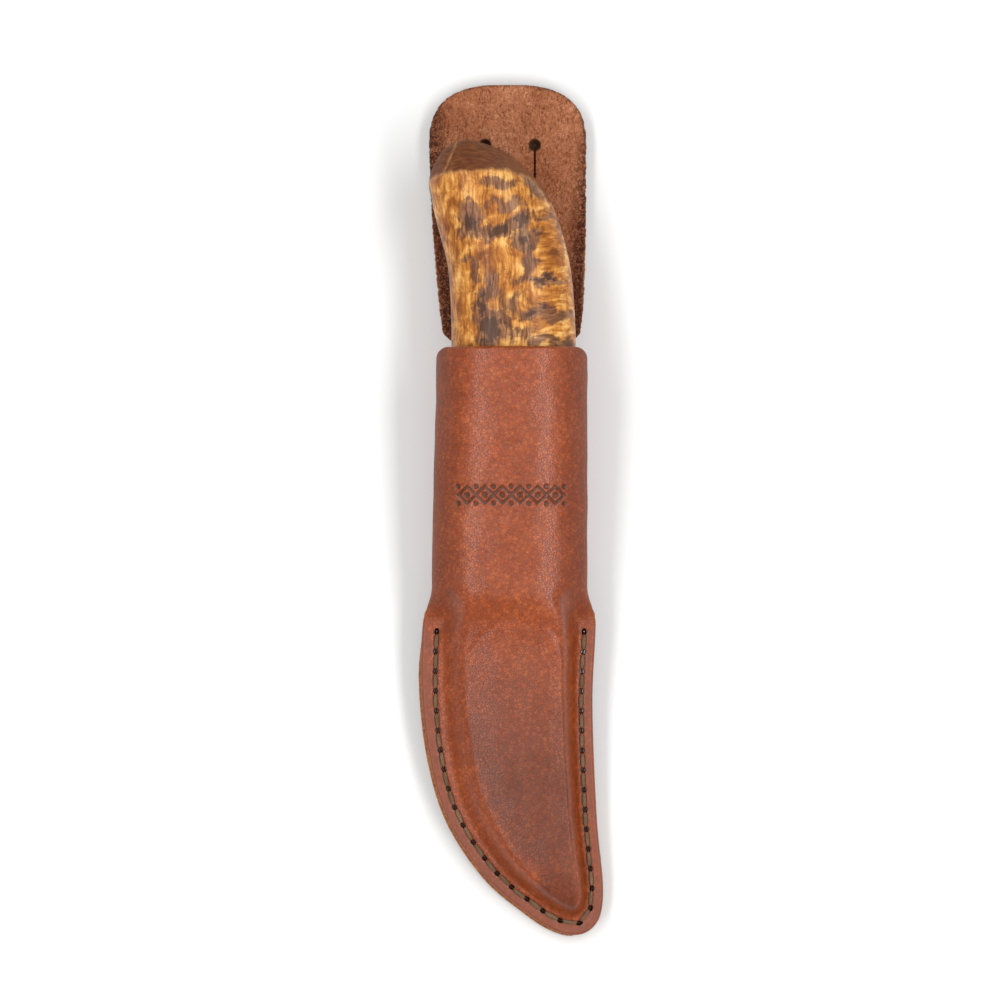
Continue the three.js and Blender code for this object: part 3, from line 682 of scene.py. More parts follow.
def suede_leather():
    """The flesh side: matt, short-fibred and mottled, and rubbed dark along its sides."""
    f = Finish("suede_leather")
    x, y = f.parts(f.where())[:2]
    broad = f.noise(9, rough=0.6)
    fibre = f.noise(0.95, detail=4, rough=0.75, warp=1.4)
    nap = f.noise(0.5, rough=0.75, warp=1.0)
    colour = f.ramp(
        f.plus(f.times(broad, 0.3), f.times(fibre, 0.7)),
        (0.37, (0.17, 0.046, 0.016)),
        (0.45, (0.33, 0.107, 0.044)),
        (0.54, (0.43, 0.156, 0.070)),
        (0.66, (0.62, 0.285, 0.160)),
    )
    for turn in (0.7, -0.6, 1.8):
        dashes = f.noise(0.62, detail=2, rough=0.6, stretch=(1.3, 0.42, 1), turn=(0, 0, turn))
        colour = f.blend(f.span(dashes, 0.60, 0.68, 0.0, 0.7), colour, (0.13, 0.034, 0.012))
    # Painted shade along the sides, most of all near the mouth, where the flap's edges curl up beside the
    # handle; the fibre breaks it up coarsely.
    beside = f.math("ABSOLUTE", f.less(x, 0.2))
    beside = f.plus(beside, f.times(f.less(90, y), 0.10))
    side_shade = f.times(f.span(beside, 14.6, 19.6), f.span(fibre, 0.44, 0.62, 1.0, 0.25))
    colour = f.blend(side_shade, colour, (0.06, 0.013, 0.005))
    # The flap's edge is dark, and the edge round the blade's part is raw and pale.
    edge = f.marked("edge")
    on_flap = f.span(y, 20, 40)
    dark = f.times(f.times(f.span(edge, 0.1, 0.9, 0.8, 0.0), on_flap), f.span(fibre, 0.42, 0.56, 1.0, 0.1))
    colour = f.blend(dark, colour, (0.06, 0.018, 0.007))
    raw = f.times(f.span(edge, 0.6, 1.4, 1.0, 0.0), f.less(1.0, on_flap))
    colour = f.blend(raw, colour, f.ramp(fibre, (0.38, (0.24, 0.070, 0.022)), (0.62, (0.62, 0.24, 0.080))))
    # Painted shade in and round the slits' punched holes and the stitch holes.
    hole = f.span(f.marked("hole"), 0.65, 1.2, 0.9, 0.0)
    colour = f.blend(hole, colour, (0.030, 0.012, 0.006))
    normal = f.bump(fibre, 0.40, 0.8)
    normal = f.bump(nap, 0.2, 0.7, normal)
    return f.done(colour, 0.95, normal, specular_ior_level=0.15, sheen_weight=0.08, sheen_roughness=0.6)


def cut_leather():
    """The raw cut edge, with its layers of fibre."""
    f = Finish("cut_leather")
    layers = f.noise(0.5, detail=4, rough=0.7, stretch=(0.35, 0.35, 2.2))
    colour = f.ramp(
        layers,
        (0.3, (0.22, 0.064, 0.020)),
        (0.52, (0.46, 0.160, 0.050)),
        (0.75, (0.70, 0.32, 0.115)),
    )
    # Painted shade on the walls of the stitch holes and slits.
    hole = f.span(f.marked("hole"), 0.5, 1.3, 0.93, 0.0)
    colour = f.blend(hole, colour, (0.045, 0.016, 0.008))
    return f.done(colour, 0.85, f.bump(layers, 0.3, 0.8), specular_ior_level=0.25)


def curly_birch():
    """Stained curly birch under an oiled finish: amber, with dark figure that runs both ways."""
    f = Finish("curly_birch")
    here = f.where()
    drift = f.shifted(here, 1.6, 8)
    # Fibres run along the handle, and across it on the side of the blade's back.
    along = f.noise(1.0, detail=5, rough=0.6, at=f.vector("MULTIPLY", drift, (1.5, 0.13, 0.8)))
    across = f.noise(1.0, detail=5, rough=0.6, at=f.vector("MULTIPLY", drift, (0.12, 1.1, 0.3)))
    side = f.span(f.parts(f.shifted(here, 2.6, 9))[0], 3.5, 8.5)
    fibre = f.plus(f.times(across, side), f.times(along, f.less(1.0, side)))
    strand = f.span(fibre, 0.33, 0.67)
    torn = f.noise(3.4, detail=5, rough=0.6, warp=0.8, at=drift)
    glow = f.span(f.noise(6.5, warp=0.6, at=drift), 0.3, 0.7)
    patches = f.plus(f.times(glow, 0.44), f.times(f.span(torn, 0.3, 0.7), 0.22))
    tone = f.plus(f.times(strand, 0.34), patches)
    # The stain took less along the middle and on the side of the blade's back.
    x = f.parts(here)[0]
    pale = f.times(f.span(x, -7, 0, 0.0, 0.12), f.span(x, 14, 5, 0.7, 1.0))
    colour = f.ramp(
        f.plus(tone, pale),
        (0.12, (0.18, 0.052, 0.011)),
        (0.34, (0.33, 0.104, 0.018)),
        (0.52, (0.48, 0.180, 0.034)),
        (0.68, (0.66, 0.29, 0.066)),
        (0.88, (0.82, 0.48, 0.155)),
    )
    depth = f.plus(f.marked("figure"), f.times(f.less(torn, 0.5), -0.75))
    depth = f.plus(depth, f.times(f.less(strand, 0.5), -0.16))
    umber = f.ramp(
        strand,
        (0.1, (0.105, 0.041, 0.021)),
        (0.5, (0.175, 0.072, 0.038)),
        (0.9, (0.29, 0.135, 0.072)),
    )
    colour = f.blend(f.span(depth, 0.22, 0.52, 0.0, 0.35), colour, (0.19, 0.066, 0.022))
    colour = f.blend(f.span(depth, 0.36, 0.60, 0.0, 0.84), colour, umber)
    colour = f.blend(f.span(depth, 0.76, 0.96, 0.0, 0.75), colour, (0.045, 0.021, 0.014))
    # Thin dark lines, here and there, where the figure's layers end.
    lines = f.math("ABSOLUTE", f.less(f.noise(7, detail=4, rough=0.6, warp=1.2, at=drift), 0.5))
    colour = f.blend(f.span(lines, 0.0, 0.012, 0.55, 0.0), colour, (0.10, 0.036, 0.013))
    end_grain = f.ramp(
        f.noise(1.0, detail=4, rough=0.6, at=f.vector("MULTIPLY", here, (0.35, 1.2, 1.2))),
        (0.3, (0.085, 0.023, 0.005)),
        (0.5, (0.15, 0.042, 0.009)),
        (0.72, (0.26, 0.082, 0.018)),
    )
    end_grain = f.blend(f.span(f.parts(drift)[0], -6, 4, 0.0, 0.55), end_grain, (0.25, 0.080, 0.018))
    butt = f.marked("butt")
    colour = f.blend(butt, colour, end_grain)
    # The ridges between the butt's facets are rubbed pale.
    worn = f.times(f.marked("ridge"), f.span(strand, 0.1, 0.6, 0.2, 0.6))
    colour = f.blend(worn, colour, (0.52, 0.25, 0.09))
    normal = f.bump(fibre, 0.05, 0.5)
    normal = f.bump(f.noise(7, detail=2), 0.5, 0.35, normal)
    rough = f.plus(f.span(fibre, 0.3, 0.7, 0.38, 0.30), f.times(butt, 0.28))
    return f.done(colour, rough, normal, specular_ior_level=0.2)


def carbon_steel():
    """Forge scale on the flats, bright ground bevels."""
    f = Finish("carbon_steel")
    ground = f.marked("ground")
    lines = f.noise(0.16, rough=0.6, stretch=(0.12, 1, 1))
    bright = f.ramp(lines, (0.3, (0.50, 0.505, 0.51)), (0.7, (0.68, 0.685, 0.69)))
    scale = f.ramp(
        f.noise(2.4, detail=5, rough=0.65),
        (0.3, (0.030, 0.029, 0.030)),
        (0.55, (0.065, 0.062, 0.062)),
        (0.75, (0.14, 0.128, 0.118)),
    )
    colour = f.blend(ground, scale, bright)
    rough = f.plus(f.span(lines, 0.3, 0.7, 0.20, 0.32), f.times(f.less(1.0, ground), 0.3))
    hammered = f.times(f.noise(3.2, detail=4, rough=0.6), f.less(1.0, ground))
    normal = f.bump(hammered, 0.22, 0.6, f.bump(lines, 0.015, 0.35))
    return f.done(colour, rough, normal, metallic=1.0)


def waxed_thread():
    """Linen thread, olive-grey and waxed."""
    f = Finish("waxed_thread")
    fibre = f.noise(0.16, rough=0.7)
    colour = f.ramp(
        f.plus(f.times(fibre, 0.7), f.times(f.noise(5, detail=2), 0.3)),
        (0.3, (0.065, 0.038, 0.019)),
        (0.5, (0.155, 0.102, 0.057)),
        (0.7, (0.35, 0.265, 0.17)),
    )
    # Darker where it goes down into a hole: painted shade, with some wax and dirt.
    colour = f.blend(f.marked("sunk"), colour, (0.085, 0.035, 0.017))
    return f.done(colour, 0.8, f.bump(fibre, 0.06, 0.6), specular_ior_level=0.25)


def liner_plastic():
    """Near-black plastic, scuffed along its length."""
    f = Finish("liner_plastic")
    scuffs = f.noise(1.3, detail=5, rough=0.7, stretch=(1, 0.25, 1))
    colour = f.ramp(scuffs, (0.35, (0.012, 0.012, 0.011)), (0.7, (0.035, 0.034, 0.032)))
    return f.done(colour, f.span(scuffs, 0.3, 0.75, 0.38, 0.6), f.bump(scuffs, 0.05, 0.5))


def epoxy():
    """Amber epoxy, slightly clouded."""
    f = Finish("epoxy")
    cloud = f.noise(2.2, detail=4)
    colour = f.ramp(cloud, (0.35, (0.42, 0.25, 0.08)), (0.7, (0.60, 0.40, 0.15)))
    return f.done(colour, f.span(cloud, 0.3, 0.7, 0.22, 0.4), f.bump(cloud, 0.12, 0.4))


GRAIN = grain_leather()
SUEDE = suede_leather()
CUT = cut_leather()
WOOD = curly_birch()
STEEL = carbon_steel()
THREAD = waxed_thread()
LEATHER = [GRAIN, SUEDE, CUT]
CUT_FACE = 2  # the number of the cut edge's finish in every leather piece

# ---- The front panel ----

STAMP_PLACE = (-0.25, 3.75)  # the middle of the stamped border
STAMP_CELLS = 6
STAMP_PITCH = 4.4
STAMP_HIGH = 2.1
STAMP_LINE = 0.24
STAMP_DEPTH = 0.34
STAMP_DOT_R = 0.42
STAMP_SIDE_DOT_R = 0.28


def turned(x, y, centre, degrees):
    """How far points are from a centre, along a direction and across it."""
    c, s = math.cos(math.radians(degrees)), math.sin(math.radians(degrees))
    x, y = x - centre[0], y - centre[1]
    return x * c + y * s, y * c - x * s


def stamp(x, y):
    """How deep the stamped border is, from 0 to 1: a chain of lozenges, with dots in and between them."""
    along = x - STAMP_PLACE[0] + STAMP_CELLS * STAMP_PITCH / 2
    y = y - STAMP_PLACE[1]
    cell = along - (np.clip(np.floor(along / STAMP_PITCH), 0, STAMP_CELLS - 1) + 0.5) * STAMP_PITCH
    slope = math.hypot(2 / STAMP_PITCH, 1 / STAMP_HIGH)
    from_line = np.abs(np.abs(cell) * 2 / STAMP_PITCH + np.abs(y) / STAMP_HIGH - 1) / slope
    from_dot = np.hypot(cell, y) - STAMP_DOT_R
    from_side_dot = np.hypot(np.abs(cell) - STAMP_PITCH / 2, np.abs(y) - STAMP_HIGH) - STAMP_SIDE_DOT_R
    near = np.minimum(np.minimum(from_line, from_dot), from_side_dot)
    return ease(STAMP_LINE + 0.2, STAMP_LINE - 0.04, near)


# Creases of the moulding at the shoulders: middle, direction in degrees, length, depth.
CREASES = [
    ((-12.5, -31), 58, 12, 0.20),
    ((-9.5, -34.5), 50, 10, 0.14),
    ((-15, -36), 66, 9, 0.14),
    ((-5.5, -30), 40, 9, 0.10),
    ((9.5, -29), 128, 10, 0.16),
    ((12, -33), 118, 8, 0.14),
    ((6, -33.5), 140, 8, 0.10),
]
CREASES_Y = (-18, -26)  # they fade in between these
CREASE_WIDTH = 0.8
CREASE_BEND = 0.02


def creases(x, y):
    """How deep the creases are."""
    total = np.zeros_like(x)
    for middle, degrees, length, depth in CREASES:
        run, off = turned(x, y, middle, degrees)
        off = off - CREASE_BEND * run ** 2
        total += depth * np.exp(-(off / CREASE_WIDTH) ** 2 - (run / (length / 2)) ** 2)
    return total


MOUTH_CORNER = 2.2  # the radius of the mouth's corners, seen from the front
FINE_REACH = 14.6  # the columns are close together this far from the middle
FINE_COLUMNS = 56
WIDE_COLUMNS = 50
# Rows and columns close up towards an edge, which is rounded: shares of the last stretch.
EDGE_STEPS = np.array([1.0, 0.75, 0.52, 0.33, 0.18, 0.07, 0.0])
RIB_COUNT = 175
RIB_REACH = 0.998  # ribs stop just short of the tip, where they would have no length
ROW_POINTS = 361


def column_lengths(total):
    """Where one side's columns lie, from the middle out to the edge."""
    fine = min(FINE_REACH, 0.55 * total)
    last = min(1.0, 0.25 * total)
    return np.concatenate([
        np.linspace(0, fine, FINE_COLUMNS, endpoint=False),
        np.linspace(fine, total - last, WIDE_COLUMNS, endpoint=False),
        total - EDGE_STEPS * last,
    ])


def spread(row, middle):
    """A dense row taken at the columns. middle is the index of its middle point."""
    along = lengths_along(row)
    left = along[middle] - column_lengths(along[middle])[::-1]
    right = along[middle] + column_lengths(along[-1] - along[middle])[1:]
    return resampled(row, np.concatenate([left, right]), along)


def at_level(row, y):
    """A row of [x, z] points, put at y."""
    return np.column_stack([row[:, 0], np.full(len(row), y), row[:, 1]])


def ribs():
    """Pairs of edge points, from RIB_Y down to the tip."""
    right = LOWER_OUTLINE[:LOWEST + 1]
    left = LOWER_OUTLINE[LOWEST:][::-1]
    ends = []
    for line in (left, right):
        line = line[line[:, 1] <= RIB_Y + 0.5]
        top = np.array([[np.interp(-RIB_Y, -line[:, 1], line[:, 0]), RIB_Y]])
        line = np.vstack([top, line[line[:, 1] < RIB_Y]])
        along = lengths_along(line)
        ends.append(resampled(line, np.linspace(0, RIB_REACH, RIB_COUNT) * along[-1], along))
    return zip(*ends)


def grid_normals(points):
    """The normal at each point of a grid."""
    across = np.gradient(points, axis=1)
    down = np.gradient(points, axis=0)
    normal = np.cross(across, down)
    return normal / np.maximum(np.linalg.norm(normal, axis=2), 1e-9)[:, :, None]


def front_rows():
    """The front panel's outer face as dense rows, from the mouth to the tip, and how far each is flared."""
    q = np.linspace(-1, 1, ROW_POINTS)
    lens = (1 + np.sin(np.radians(90) * q)) / 2
    edge_y = MOUTH_Y - EDGE_STEPS[::-1]
    stamp_low, stamp_high = STAMP_PLACE[1] - STAMP_HIGH - 1, STAMP_PLACE[1] + STAMP_HIGH + 1
    levels = np.concatenate([
        edge_y,
        np.arange(edge_y[-1] - 0.5, stamp_high, -0.5),
        np.arange(stamp_high, stamp_low, -0.24),
        np.arange(stamp_low, RIB_Y + 0.2, -0.45),
    ])
    rows, flares = [], []
    for y in levels:
        cut_share = np.clip((y - WING_CUT_Y[0]) / (WING_CUT_Y[1] - WING_CUT_Y[0]), 0, 1)
        row = tube_row(y, q * mix(BUTT_ANGLE, FLANGE_ANGLE, cut_share))
        flare = float(ease(*SHOULDER_Y, y))
        if flare > 0:
            left, right = crossings(LOWER_OUTLINE, y)
            x = mix(left, right, lens)
            dome = np.column_stack([x, dome_z(x, np.full_like(x, y))])
            row = mix(row, dome, flare)
        rows.append(at_level(row, y))
        flares.append(flare)
    for left, right in ribs():
        plan = mix(left, right, lens[:, None])
        rows.append(np.column_stack([plan, dome_z(plan[:, 0], plan[:, 1])]))
        flares.append(1.0)
    return rows, np.array(flares)


MOUTH_MARK = 4.2  # the mouth's rim counts as this far from an edge, so that it isn't paled like the flange
FRONT_ROUND = 0.75
UNDER_ROUND = 0.4
UNEVEN = ((3, 26, 0.10, 8), (4, 7, 0.05, 5))  # seed, size, depth, and how far in from the edge it starts
SEAM_PRESS = 0.16
HOLE_PRESS = 0.26
HOLE_SPREAD = 0.95
FLANGE_FADE_Y = (RIB_Y - 3, RIB_Y + 8)  # the flange's colours fade out between these
FLANGE_FADE = 6
FAR = 20.0  # stands for any larger distance to an edge
NO_HOLE = 9.0  # stands for any larger distance to a hole
SLIT_MARK = 0.75  # the slits count as this far away, so that their painted shade is lighter than at the awl's holes


def from_row_ends(grid):
    """How far each point of a grid is from its row's nearer end, along the row."""
    steps = np.linalg.norm(np.diff(grid, axis=1), axis=2)
    along = np.concatenate([np.zeros((len(grid), 1)), np.cumsum(steps, axis=1)], axis=1)
    return np.minimum(along, along[:, -1:] - along)


def from_nearest(spots, x, y, block=20000):
    """How far points are from the nearest of some spots in plan."""
    plan = np.column_stack([x, y])
    away = np.empty(len(plan))
    for i in range(0, len(plan), block):
        away[i:i + block] = np.sqrt(((plan[i:i + block, None] - spots[None]) ** 2).sum(2).min(1))
    return away


def front_panel():
    """The moulded front and its wings, from its outer face inwards."""
    rows, flares = front_rows()
    middle = len(rows[0]) // 2
    outer = np.stack([spread(row, middle) for row in rows])
    x, y = outer[:, :, 0], outer[:, :, 1]
    below = y <= RIB_Y + 1e-6
    # The distance to the free edge, along the row in the tube and in plan below it.
    side = from_row_ends(outer)
    side[below] = distance_to(LOWER_OUTLINE, x[below], y[below])
    edge = np.minimum(side, MOUTH_Y - y)
    normals = grid_normals(outer)
    if normals[0, middle, 2] < 0:
        normals = -normals
    # The mouth's corners are cut round, where the leather turns to the back.
    from_side = np.minimum(x - x.min(1)[:, None], x.max(1)[:, None] - x)
    back = rounding(from_side, MOUTH_CORNER) * ease(MOUTH_Y - 12, MOUTH_Y, y)
    # The stamp, the creases and the leather's own unevenness are pressed into the outer face.
    top_side = ease(0.3, 0.7, normals[:, :, 2])
    relief = STAMP_DEPTH * stamp(x, y) * top_side
    relief = relief + creases(x, y) * ease(*CREASES_Y, y)
    for seed, size, depth, reach in UNEVEN:
        relief = relief + depth * waves(x, y, seed, size) * ease(1, reach, edge)
    # So are the seam, as a shallow groove, and a hollow at each of its holes.
    pressed = SEAM_PRESS * ease(1.15, 0.2, distance_to(SEAM_LINE, x[below], y[below]))
    from_hole = from_nearest(SEAM_HOLES[0], x[below], y[below])
    relief[below] += pressed + HOLE_PRESS * np.exp(-(from_hole / HOLE_SPREAD) ** 2)
    top = outer - normals * (relief + rounding(edge, FRONT_ROUND))[:, :, None]
    thick = mix(FRONT_LEATHER, FLANGE_LEATHER, flares)[:, None]
    under = outer - normals * (thick - rounding(edge, UNDER_ROUND))[:, :, None]
    lower = flares > 0
    sunk_z = dome_z(x[lower], y[lower], sunk=FLANGE_LEATHER, shy=2.0) + rounding(edge[lower], UNDER_ROUND)
    sunk = np.stack([x[lower], y[lower], sunk_z], axis=-1)
    under[lower] = mix(under[lower], sunk, flares[lower][:, None, None])
    for face in (top, under):
        face[:, :, 1] -= back
    top[:, :, 2] = np.maximum(0, top[:, :, 2])
    piece = thick_sheet("front_leather", top, under, LEATHER)
    cutters = [awl_cutter(SEAM_HOLES, AWL_LOW, FLANGE_HIGH + 2 * CLEAR, seat_z)]
    for spots in WING_HOLES.values():
        cutters += [
            groove_cutter(spots, -CLEAR / 2, GROOVE_DEEP),
            awl_cutter(spots, -CLEAR, FRONT_LEATHER + 0.4),
        ]
    cut(piece, cutters)
    x, y, z = corners_of(piece).T
    edge = np.full(len(x), FAR)
    low = y < FLANGE_FADE_Y[1]
    edge[low] = distance_to(LOWER_OUTLINE, x[low], y[low])
    edge = edge + FLANGE_FADE * ease(*FLANGE_FADE_Y, y)
    mark(piece, "edge", np.minimum(edge, MOUTH_MARK + MOUTH_Y - y))
    mark_holes(piece)
    mark(piece, "stamp", stamp(x, y) * (z > 20))
    return piece


def mark_holes(piece):
    """Marks how far each point is from the nearest stitch hole or slit."""
    x, y, z = corners_of(piece).T
    away = from_nearest(np.vstack([SEAM_HOLES[0], *(spots[0] for spots in WING_HOLES.values())]), x, y)
    # The wing threads' holes don't show through on the tube's top.
    away = np.where((z > 12) & (y > RIB_Y), NO_HOLE, away)
    for slit_x in SLIT_X:
        for end_y in SLIT_Y:
            from_punch = np.maximum(0, np.hypot(x - slit_x, y - end_y) - SLIT_HOLE_R + SLIT_MARK)
            away = np.minimum(away, from_punch)
        beside = (y > SLIT_Y[0]) & (y < SLIT_Y[1])
        away = np.where(beside, np.minimum(away, np.abs(x - slit_x) + SLIT_MARK), away)
    mark(piece, "hole", away)


# ---- Cutters and thread ----

AWL_LONG = 0.95  # half the hole's length along the seam
AWL_WIDE = 0.58
AWL_BACK = 0.72  # the awl's point leaves smaller holes in the back leather
AWL_ENDS = 0.42  # and smaller still at the row's ends, where a single thread fills them
AWL_SIDES = 14
AWL_LOW = 1.8  # above the seat, and under the front's flange
CLEAR = 1  # how far cutters reach past what they cut


def flat_base(y):
    return np.zeros_like(y)


def awl_cutter(holes, low, high, base=flat_base, share=1.0):
    """An oval hole at each stitch, of a share of the awl's size; heights count from the base."""
    spots, ways = holes
    turn = np.linspace(0, 2 * math.pi, AWL_SIDES, endpoint=False)
    sizes = np.full(len(spots), share)
    sizes[[0, -1]] *= AWL_ENDS if share < 1 else 1
    points, faces = [], []
    for (x, y), (dx, dy), z, size in zip(spots, ways, base(spots[:, 1]), sizes):
        a, b = size * AWL_LONG * np.cos(turn), size * AWL_WIDE * np.sin(turn)
        ring = np.column_stack([x + a * dx - b * dy, y + a * dy + b * dx])
        hole = np.vstack([np.column_stack([ring, np.full(AWL_SIDES, z + height)]) for height in (low, high)])
        faces += tube_faces(hole, 2, AWL_SIDES, start=len(hole) * len(points))
        points.append(hole)
    return new_piece("cutter", np.vstack(points), faces, LEATHER, CUT_FACE)


def groove_cutter(holes, low, high, base=flat_base):
    """A groove for a row of stitches, round at its bottom; it opens downwards if low is below 0, else up."""
    half = GROOVE_WIDE / 2
    spots, ways = paced(holes[0], 3 * (len(holes[0]) - 1))
    push = np.zeros(len(spots))
    push[0], push[-1] = -AWL_LONG, AWL_LONG
    deep, mouth = (high, low) if low < 0 else (low, high)
    wall, foot = mix(deep, mouth, 0.22), mix(deep, mouth, 0.05)
    section = [(-half, mouth), (half, mouth), (half, wall), (half * 0.6, foot), (0, deep)]
    section += [(-half * 0.6, foot), (-half, wall)]
    loops = []
    for (x, y), (dx, dy), out, z in zip(spots, ways, push, base(spots[:, 1])):
        x, y = x + dx * out, y + dy * out
        loops.append([(x - dy * s, y + dx * s, z + h) for s, h in section])
    return loft("cutter", loops, LEATHER, CUT_FACE)


STRAND_R = 0.2
STRANDS = 3
STRAND_SIDES = 8
STRAND_SWELL = 1.06  # strands are this much thicker than their place, so that they press together
TWIST = 2.3  # the length in which a strand goes once round
STITCH_STEPS = 24
THIN = 0.62  # the thread's thickness in a hole, as a share of its own
WANDER = 0.12
ARCH = 0.10


def sewn_thread(name, holes, run, dip, base=flat_base):
    """One thread of a lockstitch row, laid from strands: along the face, and down into every hole."""
    spots, ways = holes
    rng = np.random.default_rng(len(name))
    t = (1 - np.cos(np.linspace(0, math.pi, STITCH_STEPS, endpoint=False))) / 2
    reach = np.minimum(t, 1 - t)
    lifted = ease(0.09, 0.22, reach)
    bow = np.sin(math.pi * t)
    path, sides = [], []
    for here, after, way, way_after in zip(spots, spots[1:], ways, ways[1:]):
        plan = mix(here, after, t[:, None])
        way = mix(way, way_after, t[:, None])
        side = np.column_stack([-way[:, 1], way[:, 0]])
        plan = plan + side * (rng.uniform(-WANDER, WANDER) * bow)[:, None]
        arch = math.copysign(ARCH, run - dip) * bow
        path.append(np.column_stack([plan, base(plan[:, 1]) + mix(dip, run, lifted) + arch]))
        sides.append(np.column_stack([side, np.zeros(len(side))]))
    path.append(np.array([[*spots[-1], float(base(spots[-1:, 1])[0]) + dip]]))
    sides.append(np.array([[-ways[-1][1], ways[-1][0], 0]]))
    path, sides = np.vstack(path), np.vstack(sides)
    stitches = len(spots) - 1
    # The thread is thinner where it goes down into a hole, and darker there: painted shade, with some wax and
    # dirt.
    sunk = np.append(np.tile(ease(0.85, 0.35, lifted), stitches), 1.0)
    full = np.append(np.tile(mix(THIN, 1.2, ease(0.06, 0.36, reach)), stitches), THIN)
    thick = STRAND_R * full[:, None]
    tangent = np.gradient(path, axis=0)
    tangent /= np.linalg.norm(tangent, axis=1)[:, None]
    up = np.cross(sides, tangent)
    up /= np.linalg.norm(up, axis=1)[:, None]
    along = lengths_along(path)
    ring = np.linspace(0, 2 * math.pi, STRAND_SIDES, endpoint=False)
    points, faces = [], []
    for strand in range(STRANDS):
        phase = 2 * math.pi * (along / TWIST + strand / STRANDS)
        centre = path + thick * (sides * np.cos(phase)[:, None] + up * np.sin(phase)[:, None])
        loops = centre[:, None] + thick[:, None] * STRAND_SWELL * (
            sides[:, None] * np.cos(ring)[None, :, None] + up[:, None] * np.sin(ring)[None, :, None])
        flat = loops.reshape(-1, 3)
        faces += tube_faces(flat, len(path), STRAND_SIDES, start=strand * len(flat))
        points.append(flat)
    piece = new_piece(name, np.vstack(points), faces, [THREAD], sharp=60)
    mark(piece, "sunk", np.tile(np.repeat(sunk, STRAND_SIDES), STRANDS))
    return piece


# ---- The back panel ----


flap_half = through([(MOUTH_Y, 17), (46, 17.6), (52, 18.3), (67, 19.1), (85, 19.5), (FLAP_CORNER_Y, 19.6)])


def flap_sides(y):
    """The flap's left and right x at y."""
    middle = mix(*FLAP_MIDDLES, ease(MOUTH_Y, FLAP_CORNER_Y + 3, y))
    straight = flap_half(y)
    up = np.clip((y - FLAP_CORNER_Y) / (FLAP_TOP_Y + 0.1 - FLAP_CORNER_Y), 0, 1)
    half = straight * (1 - up ** FLAP_CORNER_POWER) ** (1 / FLAP_CORNER_POWER)
    return middle - half, middle + half


def back_row(y, q):
    """The back panel's underside at y as [x, z] points from right to left, and its thickness."""
    row = offset_row(tube_row(y, 180 + q * STRIP_ANGLE), STRIP_UNDER_Z)
    across = (q + 1) / 2
    thick = mix(BACK_LEATHER, STRIP_EDGE, np.abs(q) ** 2)
    flat_flap = float(ease(MOUTH_Y, FLAP_FLAT_Y, y))
    wide = float(ease(*STRIP_WIDE_Y, y))
    if flat_flap > 0:
        left, right = flap_sides(y)
        flat = np.column_stack([mix(right, left, across), np.full(len(q), STRIP_UNDER_Z)])
        full_flap = float(ease(MOUTH_Y, MOUTH_Y + FLAP_FLARE, y))
        row = mix(row, flat, np.array([full_flap, flat_flap]))
        thick = mix(thick, BACK_LEATHER, flat_flap)
    if wide > 0:
        left, right = crossings(LOWER_OUTLINE, y)
        risen = float(ease(*STRIP_RISE_Y, y))
        flat_x = mix(right, left, across)
        row = np.column_stack([mix(row[:, 0], flat_x, wide), mix(row[:, 1], float(seat_z(y)), risen)])
        thick = mix(thick, FLANGE_LEATHER, wide)
    return row, thick


BACK_PROUD = 0.6  # how far the back leather stands out past the front's edge on the left
BACK_ROUND = 0.55
BACK_UNDER_ROUND = 0.5
BACK_ROW_POINTS = 301
FLAP_MIDDLE_X = -0.8


